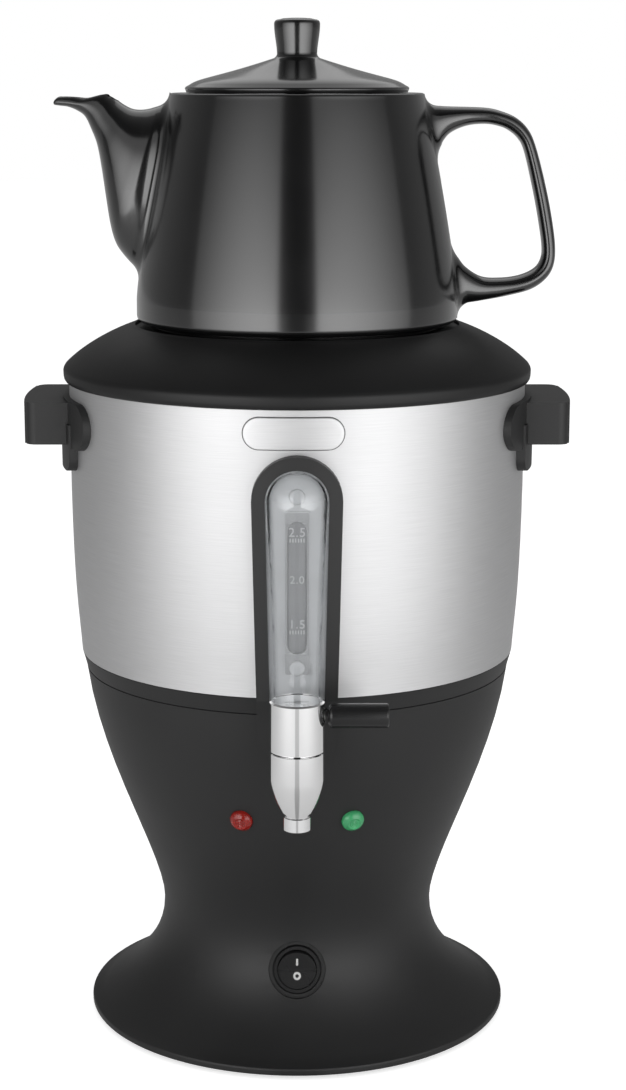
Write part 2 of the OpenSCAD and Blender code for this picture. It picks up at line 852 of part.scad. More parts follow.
// A ball cut to a shallow valley: the lower half lies level at rest, the upper half stands out
module switch_rocker() {
    color("#232324")
    on_wall(switch_z, 0, -switch_lean)
        translate([0, 0, -pocket_depth])
            rotate([rocker_swing / 2, 0, 0])
                difference() {
                    union() {
                        sphere(r = rocker_r);
                        across(rocker_pin_r, rocker_pin_reach);
                    }
                    translate([-20, -20, -20 - rocker_r * 0.55])
                        cube([40, 40, 20]);
                    for (side = [0, 180])
                        rotate([0, 0, side])
                            translate([-20, 0, rocker_depth])
                                rotate([rocker_swing / 2, 0, 0])
                                    translate([0, -0.4, 0])
                                        cube([40, 40, 20]);
                }
}

// A domed lens on a stem that passes through the wall
module lamp(side) {
    dome_h = 2.6;
    dome_r = (lens_r * lens_r + dome_h * dome_h) / (2 * dome_h);
    on_wall(lamp_z, side * lamp_x, -lamp_lean)
        translate([0, 0, -lens_seat]) {
            cylinder(r = lens_r, h = 1.2);
            translate([0, 0, 1.2])
                intersection() {
                    translate([0, 0, dome_h - dome_r])
                        sphere(r = dome_r);
                    cylinder(r = lens_r, h = dome_h + 1);
                }
            translate([0, 0, -11])
                cylinder(r = lens_stem_r, h = 12);
        }
}

module lamp_red() {
    color("#a32b24")
    lamp(-1);
}

module lamp_green() {
    color("#3fae6c")
    lamp(1);
}

module lamp_clips() {
    color("#c9c9c4")
    for (side = [-1, 1])
        on_wall(lamp_z, side * lamp_x, -lamp_lean)
            translate([0, 0, -lens_seat - housing_wall - 2.4])
                difference() {
                    cylinder(r = lens_stem_r + 2.4, h = 1.6);
                    translate([0, 0, -through])
                        cylinder(r = lens_stem_r + fit_gap / 3, h = 4);
                }
}

// ---- Side handles ----

handle_screw_y = 18;
handle_screw_r = 1.8;
grip_bow = 2.2;
grip_corner = 5;

// Plan of the grip, from inside the steel wall out to its bowed outer edge
module grip_plan(inset = 0) {
    reach = tank_r + grip_reach - inset;
    half = grip_w / 2 - inset;
    bow_r = (half * half + grip_bow * grip_bow) / (2 * grip_bow);
    start = tank_r - 14;
    intersection() {
        translate([reach - bow_r, 0])
            circle(r = bow_r, $fn = 360);
        union() {
            translate([start, -half])
                square([reach - start - grip_corner - grip_bow, 2 * half]);
            translate([start, -half + grip_corner])
                square([reach - start + 1, 2 * (half - grip_corner)]);
            for (side = [-1, 1])
                translate([reach - grip_corner - grip_bow, side * (half - grip_corner)])
                    circle(r = grip_corner);
        }
    }
}

module handle() {
    draft = 1.4;
    core_wall = 2.6;
    difference() {
        union() {
            intersection() {
                translate([0, 0, grip_z - grip_h / 2])
                    linear_extrude(grip_h)
                        grip_plan();
                translate([tank_r + grip_reach, 0, grip_z - grip_h / 2])
                    rotate([0, atan(draft / grip_h), 0])
                        translate([-60 - draft, -100, -10])
                            cube([60, 200, 2 * grip_h + 20]);
            }
            intersection() {
                wall_solid(wrap_t);
                translate([tank_r - 62, 0, grip_z])
                    rotate([0, 90, 0])
                        scale_round(wrap_w / 2, grip_h / 2 + 1, 80);
            }
            intersection() {
                wall_solid(tongue_t);
                translate([tank_r - 40, 0, grip_z - grip_h / 2 - tongue_h])
                    tongue_block();
            }
        }
        wall_solid(0);
        translate([0, 0, grip_z - grip_h / 2 - through])
            linear_extrude(grip_h - 4 + through)
                difference() {
                    grip_plan(core_wall);
                    circle(r = tank_r + tongue_t + 0.6);
                    translate([tank_r, -core_wall / 2])
                        square([grip_reach, core_wall]);
                }
        for (y = [-1, 1])
            translate([tank_r - 10, y * handle_screw_y, grip_z])
                rotate([0, 90, 0])
                    cylinder(r = handle_screw_r, h = 20);
    }
}

// A bar along Z with a rounded outline whose half widths are a (along Y) and b (along X)
module scale_round(a, b, length) {
    shoulder = a - b;
    linear_extrude(length)
        polygon(concat(
            arc([0, shoulder], b, 0, 180, 16),
            arc([0, -shoulder], b, 180, 360, 16)
        ));
}

// A block below the grip with rounded lower corners, as wide as the tongue
module tongue_block() {
    corner = 6;
    half = tongue_w / 2;
    rotate([90, 0, 90])
        linear_extrude(80)
            polygon(concat(
                [[half, grip_h / 2 + tongue_h], [-half, grip_h / 2 + tongue_h]],
                arc([-half + corner, corner], corner, 180, 270),
                arc([half - corner, corner], corner, 270, 360)
            ));
}

module handle_right() {
    color("#2b2b2c")
    handle();
}

module handle_left() {
    color("#2b2b2c")
    mirror([1, 0, 0])
        handle();
}

// Inner face of the steel at the handle screws
screw_face_x = sqrt(pow(tank_r - tank_wall, 2) - pow(handle_screw_y + 5, 2)) - fit_gap;
seal_t = 1.2;

module at_handle_screws() {
    for (side = [0, 180], y = [-1, 1])
        rotate([0, 0, side])
            translate([screw_face_x - seal_t, y * handle_screw_y, grip_z])
                rotate([0, 90, 0])
                    children();
}

module handle_screws() {
    color("#b8b8ba")
    at_handle_screws()
        screw(handle_screw_r - 0.05, grip_reach - 2, 3.6, 2.2);
}

module handle_seals() {
    color("#b34a3a")
    at_handle_screws()
        difference() {
            cylinder(r = 5, h = seal_t);
            translate([0, 0, -through])
                cylinder(r = handle_screw_r + fit_gap, h = seal_t + 2 * through);
        }
}

// ---- Water gauge ----

gauge_top_z = tank_top_z - gauge_drop;
gauge_bottom_z = gauge_top_z - gauge_h;
arch_z = gauge_top_z - gauge_w / 2;
window_r = gauge_w / 2 - gauge_bar;
window_low_r = window_r - (gauge_w - gauge_low_w) / 2 + 0.25;
window_bottom_z = gauge_bottom_z + 2;
window_low_z = window_bottom_z + window_low_r;
flange_w = 2.4;
back_gap = 0.8;
back_t = 1.6;
cover_seat = back_gap + back_t;
flange_t = 1.4;
gauge_top_screw_z = gauge_top_z - 1.8;
gauge_low_screw_x = gauge_low_w / 2 - 3.8;
gauge_low_screw_z = gauge_bottom_z + 4.4;
gauge_screw_r = screw_r - 0.3;
gauge_screw_head_r = 2.6;
gauge_hole_depth = 3;
// Where the lower screws cross the wall's outer face, and where their heads bear on its inner face
gauge_low_wall_y = sqrt(
    pow(radius_at(wall_outline, gauge_low_screw_z), 2) - pow(gauge_low_screw_x, 2)
);
gauge_low_seat_y = inner_seat(gauge_low_screw_z, gauge_low_screw_x, gauge_screw_head_r);

// Outline of the window, grown by d: a stadium that narrows downward
function window_outline(d) = concat(
    arc([0, arch_z], window_r + d, 0, 180, 24),
    arc([0, window_low_z], window_low_r + d, 180, 360, 24)
);

function frame_outline() = concat(
    arc([0, arch_z], gauge_w / 2, 0, 180, 24),
    arc([-gauge_low_w / 2 + 7, gauge_bottom_z + 7], 7, 180, 270),
    arc([gauge_low_w / 2 - 7, gauge_bottom_z + 7], 7, 270, 360)
);

// Carries an outline drawn as [X, Z] straight back through the front wall
module through_front(outline) {
    translate([0, -tank_r + 30, 0])
        rotate([90, 0, 0])
            linear_extrude(60)
                polygon(outline);
}

// The part of an outline that lies between two distances in front of the wall
module front_layer(outline, inner, outer) {
    difference() {
        intersection() {
            wall_solid(outer);
            through_front(outline);
        }
        wall_solid(inner);
    }
}

// Trims what would reach below the frame's lower lip
module above_lip() {
    intersection() {
        children();
        translate([-50, -tank_r - 50, gauge_bottom_z + 1])
            cube([100, 100, gauge_h]);
    }
}

module gauge_frame() {
    color("#262627")
    difference() {
        front_layer(frame_outline(), fit_gap, gauge_depth);
        above_lip()
            difference() {
                through_front(window_outline(flange_w + fit_gap));
                difference() {
                    wall_solid(gauge_depth + 2);
                    wall_solid(cover_seat + flange_t + fit_gap);
                }
            }
        through_front(window_outline(fit_gap));
        gauge_screw_holes(gauge_screw_r + 0.05);
    }
}

module gauge_screw_holes(r) {
    translate([0, -tank_r - gauge_hole_depth, gauge_top_screw_z])
        rotate([-90, 0, 0])
            cylinder(r = r, h = gauge_hole_depth + 6);
    for (side = [-1, 1])
        translate([side * gauge_low_screw_x, -gauge_low_wall_y - gauge_hole_depth, gauge_low_screw_z])
            rotate([-90, 0, 0])
                cylinder(r = r, h = gauge_hole_depth + 6);
}

module gauge_back() {
    strip_top_z = gauge_top_z - 23.4;
    strip_bottom_z = gauge_bottom_z + 40.4;
    strip_front = cover_seat + 1.2;
    slot_z = strip_top_z - 4;
    color("#9a9c9e")
    difference() {
        union() {
            above_lip()
                front_layer(window_outline(flange_w), back_gap, cover_seat);
            intersection() {
                front_layer(window_outline(-2), back_gap, strip_front);
                translate([-strip_w / 2, -tank_r - 20, strip_bottom_z])
                    cube([strip_w, 40, strip_top_z - strip_bottom_z]);
            }
        }
        difference() {
            through_front(concat(
                arc([0, slot_z - slot_w / 2], slot_w / 2, 0, 180),
                arc([0, slot_z - slot_h + slot_w / 2], slot_w / 2, 180, 360)
            ));
            wall_solid(cover_seat + 0.1);
        }
        for (z = [water_low_z, water_high_z])
            translate([0, -tank_r - 10, z])
                rotate([-90, 0, 0])
                    cylinder(r = water_hole_r, h = 16);
        translate([0, -wall_r_tap - 8, tap_inlet_z])
            rotate([-90, 0, 0])
                cylinder(r = tail_r + fit_gap, h = 16);
    }
}

module gauge_seal() {
    half = 7;
    color("#c9c5bd")
    difference() {
        front_layer(concat(
            arc([0, water_high_z], half, 0, 180, 12),
            arc([0, water_low_z], half, 180, 360, 12)
        ), fit_gap / 3, back_gap - 0.02);
        for (z = [water_low_z, water_high_z])
            translate([0, -tank_r - 10, z])
                rotate([-90, 0, 0])
                    cylinder(r = water_hole_r, h = 16);
    }
}

// A capsule that bulges out of the wall, narrower at its lower end
module bulge(shrink) {
    top = [-radius_at(wall_outline, arch_z), arch_z];
    low = [-radius_at(wall_outline, window_low_z), window_low_z];
    length = norm(top - low);
    r1 = window_low_r - shrink;
    r2 = window_r - shrink;
    translate([0, low.x, low.y])
        rotate([atan2(low.x - top.x, top.y - low.y), 0, 0])
            rotate_extrude()
                polygon(concat(
                    [[0, -r1]],
                    arc([0, 0], r1, -80, 0, 8),
                    arc([0, length], r2, 0, 80, 8),
                    [[0, length + r2]]
                ));
}

// Distance from the axis to the front of the cover's bulge at a height
function cover_front(z) =
    let (share = (z - window_low_z) / (arch_z - window_low_z))
    (1 - share) * (radius_at(wall_outline, window_low_z) + window_low_r)
        + share * (radius_at(wall_outline, arch_z) + window_r) - fit_gap;

// Distance from the samovar's axis to the tap's axis
tap_reach = cover_front(tap_seam_z + tap_head_h) + tap_gap + tap_r;
cover_boss_r = tail_r + fit_gap + 1.4;
cover_boss_y = tap_reach - tap_r - 1.4;

module gauge_cover() {
    color([0.8, 0.83, 0.85, 0.45])
    difference() {
        union() {
            above_lip()
                front_layer(window_outline(flange_w), cover_seat + 0.02, cover_seat + flange_t);
            bulge(fit_gap);
            translate([0, -cover_boss_y, tap_inlet_z])
                rotate([-90, 0, 0])
                    cylinder(r = cover_boss_r, h = cover_boss_y - wall_r_tap);
        }
        bulge(cover_wall + fit_gap);
        wall_solid(cover_seat + 0.02);
        translate([0, -tap_reach, tap_inlet_z])
            rotate([-90, 0, 0])
                cylinder(r = tail_r + fit_gap, h = 60);
    }
}

module gauge_screws() {
    tip_gap = 0.2;
    top_seat_y = tank_r - tank_wall - 0.1;
    top_length = tank_r + gauge_hole_depth - tip_gap - top_seat_y;
    low_length = gauge_low_wall_y + gauge_hole_depth - tip_gap - gauge_low_seat_y;
    color("#b8b8ba") {
        translate([0, -top_seat_y, gauge_top_screw_z])
            rotate([90, 0, 0])
                screw(gauge_screw_r, top_length, gauge_screw_head_r, 1.6);
        for (side = [-1, 1])
            translate([side * gauge_low_screw_x, -gauge_low_seat_y, gauge_low_screw_z])
                rotate([90, 0, 0])
                    screw(gauge_screw_r, low_length, gauge_screw_head_r, 1.6);
    }
}

// ---- Tap ----

tap_inlet_z = tap_seam_z - 5.2;
wall_r_tap = radius_at(wall_outline, tap_inlet_z);
tap_barrel_z = tap_seam_z - tap_barrel_h;
tap_end_z = tap_barrel_z - tap_taper_h;
tap_end_r = nozzle_r - 0.3;
plug_bore_r = plug_r + running_gap;
plug_foot_r = bore_r + 1.3;
plug_z = tap_seam_z - 20.2;
plug_top_z = tap_seam_z + tap_head_h - 5;
collar_z = plug_z - 1.9;
nozzle_thread_r = tap_end_r - 0.9;

module on_tap_axis() {
    translate([0, -tap_reach, 0])
        children();
}

module tap_body() {
    tail_end = 12;
    color("#d5d5d7")
    difference() {
        union() {
            on_tap_axis()
                rotate_extrude()
                    polygon(concat(
                        [[0, tap_end_z]],
                        reversed(bezier(
                            [tap_r, tap_barrel_z], [tap_r - 0.2, tap_barrel_z - 4.1],
                            [tap_r - 3, tap_end_z + 4.8], [tap_end_r, tap_end_z], 8
                        )),
                        [
                            [tap_r, tap_seam_z - seat_gap / 2 - 0.3],
                            [tap_r - 0.3, tap_seam_z - seat_gap / 2], [0, tap_seam_z - seat_gap / 2]
                        ]
                    ));
            translate([0, -tap_reach, tap_inlet_z])
                rotate([-90, 0, 0]) {
                    cylinder(r = tail_r - fit_gap / 3, h = tap_reach - wall_r_tap + tail_end);
                    cylinder(r = cover_boss_r, h = tap_reach - cover_boss_y - 0.8);
                }
        }
        on_tap_axis() {
            translate([0, 0, plug_z])
                cylinder(r = plug_bore_r, h = 40);
            translate([0, 0, collar_z - through])
                cylinder(r = plug_foot_r + running_gap, h = 10);
            translate([0, 0, tap_end_z - through])
                cylinder(r = nozzle_thread_r, h = collar_z - tap_end_z + through);
        }
        translate([0, -tap_reach, tap_inlet_z])
            rotate([-90, 0, 0])
                cylinder(r = bore_r - 0.3, h = tap_reach - feed_y + 2);
        translate([0, -feed_y, tap_inlet_z])
            cylinder(r = 1.7, h = 10);
    }
}

feed_y = wall_r_tap + cover_seat + 3.6;
nut_flange_r = 7.2;

module tap_nozzle() {
    color("#dededf")
    on_tap_axis()
        translate([0, 0, tap_end_z - nozzle_h])
            difference() {
                union() {
                    rotate_extrude()
                        polygon([
                            [0, 0], [nozzle_r - 0.5, 0], [nozzle_r, 0.5], [nozzle_r, nozzle_h - 0.5],
                            [nozzle_r - 0.4, nozzle_h], [0, nozzle_h]
                        ]);
                    cylinder(r = nozzle_thread_r - fit_gap / 3, h = nozzle_h + 3.4);
                }
                translate([0, 0, -through])
                    cylinder(r = bore_r + 0.4, h = nozzle_h + 6);
            }
}

module tap_washer() {
    color("#c9c5bd")
    translate([0, -cover_boss_y - 0.8, tap_inlet_z])
        rotate([-90, 0, 0])
            difference() {
                cylinder(r = cover_boss_r, h = 0.8);
                translate([0, 0, -through])
                    cylinder(r = tail_r + fit_gap / 3, h = 3);
            }
}

module tap_nut() {
    color("#c2b280")
    translate([0, -inner_seat(tap_inlet_z, 0, nut_flange_r), tap_inlet_z])
        rotate([-90, 0, 0])
            difference() {
                union() {
                    cylinder(r = nut_flange_r, h = 1);
                    translate([0, 0, 1])
                        cylinder(r = 6.4, h = 4.5, $fn = 6);
                }
                translate([0, 0, -through])
                    cylinder(r = tail_r + fit_gap / 3, h = 8);
            }
}

module tap_head() {
    color("#d5d5d7")
    on_tap_axis()
        difference() {
            translate([0, 0, tap_seam_z + seat_gap / 2])
                rotate_extrude()
                    polygon([
                        [0, 0], [tap_r - 0.3, 0], [tap_r, 0.3], [tap_r, tap_head_h - 0.9],
                        [tap_r - 0.7, tap_head_h - 0.2], [tap_r - 1.4, tap_head_h - 0.2],
                        [tap_r - 1.6, tap_head_h - 0.5], [0, tap_head_h - 0.5]
                    ]);
            translate([0, 0, tap_seam_z - through])
                cylinder(r = plug_r + fit_gap / 3, h = plug_top_z - tap_seam_z + through + 0.2);
            translate([0, 0, tap_seam_z + lever_rise])
                rotate([0, 90, 0])
                    cylinder(r = stud_r + fit_gap / 3, h = 20);
        }
}

stud_r = 2;
ring_groove = 1.4;
groove_r = plug_r - 1.1;
upper_groove_z = tap_seam_z - 1.9;
lower_groove_z = tap_seam_z - 12.4;

// A quarter-turn plug: its port faces -X when shut and the inlet when open
module tap_plug() {
    color("#c2b280")
    on_tap_axis()
        difference() {
            rotate_extrude()
                polygon([
                    [0, collar_z - 1.6], [plug_foot_r, collar_z - 1.6], [plug_foot_r, plug_z + 0.1],
                    [plug_r, plug_z + 0.1], [plug_r, lower_groove_z], [groove_r, lower_groove_z],
                    [groove_r, lower_groove_z + ring_groove], [plug_r, lower_groove_z + ring_groove],
                    [plug_r, upper_groove_z], [groove_r, upper_groove_z],
                    [groove_r, upper_groove_z + ring_groove], [plug_r, upper_groove_z + ring_groove],
                    [plug_r, plug_top_z], [0, plug_top_z]
                ]);
            translate([0, 0, collar_z - 3])
                cylinder(r = bore_r, h = tap_inlet_z - collar_z + 3);
            translate([0, 0, tap_inlet_z])
                rotate([0, -90, 0])
                    cylinder(r = bore_r, h = 12);
            translate([0, 0, tap_seam_z + lever_rise])
                rotate([0, 90, 0])
                    cylinder(r = stud_r + fit_gap / 3, h = 12);
            translate([0, 0, collar_z - 1.2])
                difference() {
                    cylinder(r = 8, h = 0.9);
                    translate([0, 0, -through])
                        cylinder(r = clip_groove_r, h = 3);
                }
        }
}

clip_groove_r = plug_foot_r - 0.6;

module tap_rings() {
    color("#2d2d2d")
    on_tap_axis()
        for (z = [lower_groove_z, upper_groove_z])
            translate([0, 0, z + ring_groove / 2])
                rotate_extrude()
                    translate([groove_r + 0.55, 0])
                        circle(r = 0.5);
}

module tap_clip() {
    color("#8c8f92")
    on_tap_axis()
        translate([0, 0, collar_z - 1.1])
            difference() {
                cylinder(r = nozzle_thread_r - fit_gap, h = 0.7);
                translate([0, 0, -through])
                    cylinder(r = clip_groove_r + 0.05, h = 3);
                translate([-1.5, 0, -through])
                    cube([3, 12, 3]);
            }
}

module tap_lever() {
    root = tap_r + 0.1;
    grip_start = root + 2;
    length = lever_reach - root;
    neck_r = lever_r * 0.62;
    color("#1e1e1f")
    on_tap_axis()
        translate([root, 0, tap_seam_z + lever_rise])
            rotate([0, 90, 0])
                difference() {
                    rotate_extrude()
                        polygon(concat(
                            [[0, 0], [neck_r, 0], [neck_r, 1.2], [lever_r - 0.4, 2.2], [lever_r, 3]],
                            arc([lever_r - 1, length - 1], 1, 0, 90),
                            [[0, length]]
                        ));
                    translate([0, 0, -through])
                        cylinder(r = stud_r + fit_gap / 3, h = length - 8);
                }
}

module tap_stud() {
    color("#b8b8ba")
    on_tap_axis()
        translate([1.5, 0, tap_seam_z + lever_rise])
            rotate([0, 90, 0])
                cylinder(r = stud_r, h = lever_reach - 11);
}

// ---- Tank lid ----

rim_round = 2.2;
lid_rim_top_z = lid_rim_z + lid_rim_h;
dome_run = lid_rim_r - pot_recess_r - 1.6;
lid_outline = concat(
    [[lid_rim_r - 0.5, lid_rim_z], [lid_rim_r, lid_rim_z + 0.8]],
    arc([lid_rim_r - 0.4 - rim_round, lid_rim_top_z - 0.6], rim_round, 0, 50),
    bezier(
        [lid_rim_r - 3.6, lid_rim_top_z + 1.8], [lid_rim_r - 0.38 * dome_run, lid_rim_top_z + 8],
        [lid_rim_r - 0.665 * dome_run, lid_rim_top_z + 13], [pot_recess_r + 1.6, lid_top_z - 0.5]
    ),
    [[pot_recess_r + 0.6, lid_top_z]]
);

module tank_lid() {
    rim_inner_r = tank_r + seat_gap;
    collar_r = tank_r - tank_bead - seat_gap;
    collar_t = 2;
    floor_t = 2.6;
    chimney_h = 6;
    under = reversed(beside([for (i = [9 : len(lid_outline) - 1]) lid_outline[i]], lid_wall));
    color("#29292a")
    rotate_extrude()
        polygon(concat(
            lid_outline,
            [
                [pot_recess_r, lid_top_z - 0.4], [pot_recess_r, recess_z], [steam_r, recess_z],
                [steam_r, recess_z - chimney_h], [steam_r + 2, recess_z - chimney_h],
                [steam_r + 2, recess_z - floor_t], [pot_recess_r - 2, recess_z - floor_t]
            ],
            [for (p = under) if (p.y > lid_shelf_z + 0.4 && p.x > pot_recess_r) p],
            [
                [collar_r - collar_t, lid_shelf_z + 0.4],
                [collar_r - collar_t, tank_top_z - lid_collar_h],
                [collar_r - 0.5, tank_top_z - lid_collar_h], [collar_r, tank_top_z - lid_collar_h + 1],
                [collar_r, lid_shelf_z], [rim_inner_r, lid_shelf_z],
                [rim_inner_r, lid_rim_z + 0.6], [rim_inner_r + 0.5, lid_rim_z]
            ]
        ));
}

module lid_seal() {
    color("#c9c5bd")
    translate([0, 0, lid_shelf_z - lid_seal_t])
        difference() {
            cylinder(r = tank_r + seat_gap - fit_gap, h = lid_seal_t);
            translate([0, 0, -through])
                cylinder(r = tank_r - tank_bead + fit_gap - seat_gap, h = lid_seal_t + 2 * through);
        }
}

// ---- Teapot ----

pot_edge_z = pot_z + pot_foot_h;
pot_side = bezier(
    [pot_belly_r, pot_edge_z + 9.5], [pot_belly_r - 0.1, pot_edge_z + 21],
    [pot_rim_r + 6, pot_rim_z - 26], [pot_rim_r, pot_rim_z - 1.2]
);
pot_outline = concat(
    arc([pot_belly_r - 3.4, pot_edge_z + 3.4], 3.4, -70, 0),
    pot_side,
    arc([pot_rim_r - 1.2, pot_rim_z - 1.2], 1.2, 0, 90)
);

// Radius of the pot's outside at a share of its height
function pot_r(share) = radius_at(pot_side, pot_z + share * pot_h);

// Rows of [lower reach, lower share, upper reach, upper share, half width]: reach is measured
// out from the pot's wall at that height, and share counts from the foot ring to the rim.
spout_rows = [
    [-6, 0.210, -6, 0.955, 15],
    [1.3, 0.249, 0, 0.955, 19.5],
    [8.9, 0.317, 2.6, 0.949, 20.5],
    [12.8, 0.367, 5.5, 0.940, 20],
    [16.1, 0.440, 8.5, 0.932, 19],
    [20, 0.555, 12, 0.929, 17.5],
    [24, 0.675, 15.5, 0.933, 15.5],
    [28, 0.778, 19, 0.947, 13],
    [32, 0.845, 22.2, 0.965, 11],
    [36, 0.900, 25.5, 0.990, 9.3],
    [40, 0.925, 28.3, 1.007, 7.8],
    [44.5, 0.941, 36, 0.988, 5.8],
    [48.5, 0.946, 43, 0.990, 4.2],
    [51, 0.950, 49.3, 0.985, 2.8],
    [51.6, 0.958, 51.2, 0.972, 1.6]
];
channel_rows = [
    [-9, 0.300, -9, 0.900, 14],
    [2, 0.350, 0, 0.905, 16.5],
    [9.8, 0.420, 4, 0.900, 16.4],
    [14.5, 0.520, 8, 0.897, 15],
    [19, 0.640, 12, 0.900, 13],
    [23.6, 0.760, 16, 0.916, 10.8],
    [28, 0.855, 20.4, 0.945, 8.8],
    [33.5, 0.925, 26.8, 1.010, 7],
    [39, 0.956, 35.5, 1.060, 5.2],
    [44, 0.966, 42, 1.060, 3.8],
    [48.5, 0.972, 48, 1.060, 2]
];

function pot_point(reach, share) = [-pot_r(share) - reach, pot_z + share * pot_h];

function spout_rings(rows, sides) = [
    for (row = smooth(rows, 2))
        ring_between(pot_point(row[0], row[1]), pot_point(row[2], row[3]), row[4], sides, 0.86)
];

// Rows of [outer reach, outer share, inner reach, inner share, half width] for the handle
handle_rows = [
    [-5, 0.953, -5, 0.700, 10.5],
    [0.4, 0.949, 1.5, 0.752, 10],
    [4.5, 0.946, 4, 0.794, 9.2],
    [10, 0.943, 8.5, 0.833, 8.4],
    [18.6, 0.941, 16, 0.861, 7.6],
    [26.8, 0.937, 24, 0.869, 7.2],
    [32.4, 0.925, 30, 0.861, 7.1],
    [38.7, 0.898, 34.4, 0.843, 7],
    [43.2, 0.851, 38.2, 0.806, 6.9],
    [45.4, 0.780, 40, 0.750, 6.8],
    [46.9, 0.620, 40.9, 0.600, 6.8],
    [47.5, 0.475, 41.3, 0.460, 6.8],
    [47.2, 0.345, 41.1, 0.340, 6.8],
    [45.3, 0.262, 39.5, 0.283, 6.9],
    [41, 0.203, 35.8, 0.245, 7],
    [33.5, 0.157, 29, 0.218, 7.3],
    [22, 0.128, 20.5, 0.207, 7.8],
    [10, 0.107, 11.8, 0.213, 8.6],
    [3.5, 0.096, 5, 0.257, 9.6],
    [0.2, 0.078, 1, 0.317, 10.4],
    [-5, 0.070, -5, 0.380, 10.8]
];

handle_rings = [
    for (row = smooth(handle_rows, 2))
        let (
            a = pot_point(row[0], row[1]),
            b = pot_point(row[2], row[3])
        )
        ring_between([-a.x, a.y], [-b.x, b.y], row[4], 16, 0.8)
];

module pot_hollow() {
    inner = beside(pot_outline, pot_wall);
    inside = [for (p = inner) if (p.y < pot_rim_z - pot_wall && p.y > pot_edge_z + 4) p];
    floor_z = pot_edge_z + 5;
    rotate_extrude()
        polygon(concat(
            [[0, floor_z], [pot_belly_r - pot_wall - 5, floor_z]],
            inside,
            [
                [inside[len(inside) - 1].x - 2, pot_rim_z - pot_wall],
                [pot_mouth_r, pot_rim_z - pot_wall], [pot_mouth_r, pot_rim_z - 0.8],
                [pot_mouth_r + 0.8, pot_rim_z], [pot_mouth_r + 0.8, pot_rim_z + 10], [0, pot_rim_z + 10]
            ]
        ));
}

module pot_filled() {
    rotate_extrude()
        polygon(concat(
            [
                [0, pot_edge_z], [pot_foot_r - 5, pot_edge_z], [pot_foot_r - 5, pot_z + 0.3],
                [pot_foot_r - 4.7, pot_z], [pot_foot_r - 0.3, pot_z], [pot_foot_r, pot_z + 0.3],
                [pot_foot_r, pot_edge_z]
            ],
            pot_outline,
            [[0, pot_rim_z]]
        ));
}

// Holes through the wall behind the spout, in staggered rows
module strainer() {
    pitch = strainer_hole_r * 3;
    for (row = [-2 : 2], i = [-2 : 2]) {
        y = (i + (abs(row) % 2) / 2) * pitch;
        z = pot_z + pot_h * 0.6 + row * pitch * 0.87;
        if (abs(y) < 2.2 * pitch)
            translate([-pot_belly_r - 5, y, z])
                rotate([0, 90, 0])
                    cylinder(r = strainer_hole_r, h = 30);
    }
}

module teapot() {
    color("#161617")
    difference() {
        union() {
            pot_filled();
            loft(handle_rings);
            loft(spout_rings(spout_rows, 20));
        }
        difference() {
            loft(spout_rings(channel_rows, 16));
            pot_filled();
        }
        pot_hollow();
        strainer();
    }
}

cap_outline = concat(
    [[cap_r - 0.6, cap_z]],
    arc([cap_r - 1, cap_z + cap_edge_h - 0.6], 1, 0, 60),
    bezier(
        [cap_r - 2.2, cap_z + cap_edge_h + 1.2], [cap_r - 6.4, cap_z + cap_edge_h + 4.2],
        [cap_r - 14, cap_z + cap_edge_h + 4.4], [knob_neck_r + 2.6, cone_top_z - 0.6]
    )
);

module teapot_lid() {
    skirt_r = pot_mouth_r - 1;
    knob_top_z = cone_top_z + knob_h;
    crown_r = 34;
    under = reversed(beside(cap_outline, cap_wall));
    color("#161617")
    rotate_extrude()
        polygon(concat(
            cap_outline,
            [[knob_neck_r + 0.6, cone_top_z + 0.4]],
            bezier(
                [knob_neck_r, cone_top_z + 1.6], [knob_neck_r + 0.1, cone_top_z + 6],
                [knob_r - 0.1, knob_top_z - 8], [knob_r, knob_top_z - 3], 8
            ),
            arc([knob_r - 1.8, knob_top_z - 2.6], 1.8, 0, 78),
            [[knob_r - 4, knob_top_z - 0.3], [0, knob_top_z]],
            [[0, cone_top_z - cap_wall - 1]],
            [for (p = under) if (p.y > cap_z + cap_edge_h - 0.4 && p.x < skirt_r - 4.4) p],
            [
                [skirt_r - 4, cap_z + 1.2], [skirt_r - 3.6, cap_z - cap_skirt_h],
                [skirt_r - 0.4, cap_z - cap_skirt_h], [skirt_r, cap_z - cap_skirt_h + 0.6],
                [skirt_r, cap_z]
            ]
        ));
}

base_housing();
bottom_plate();
rubber_feet();
base_screws();
waist_ring();
ring_screws();
tank();
heater_plate();
heating_element();
thermostat();
thermal_cutout();
sensor_bracket();
terminal_block();
wires();
cord_gland();
switch_body();
switch_rocker();
lamp_red();
lamp_green();
lamp_clips();
handle_left();
handle_right();
handle_screws();
handle_seals();
gauge_frame();
gauge_cover();
gauge_back();
gauge_seal();
gauge_screws();
tap_body();
tap_nozzle();
tap_washer();
tap_nut();
tap_head();
tap_plug();
tap_rings();
tap_clip();
tap_lever();
tap_stud();
tank_lid();
lid_seal();
teapot();
teapot_lid();
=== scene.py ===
import json
import math

import bmesh
import bpy
from mathutils import Matrix, Vector
from mathutils.bvhtree import BVHTree


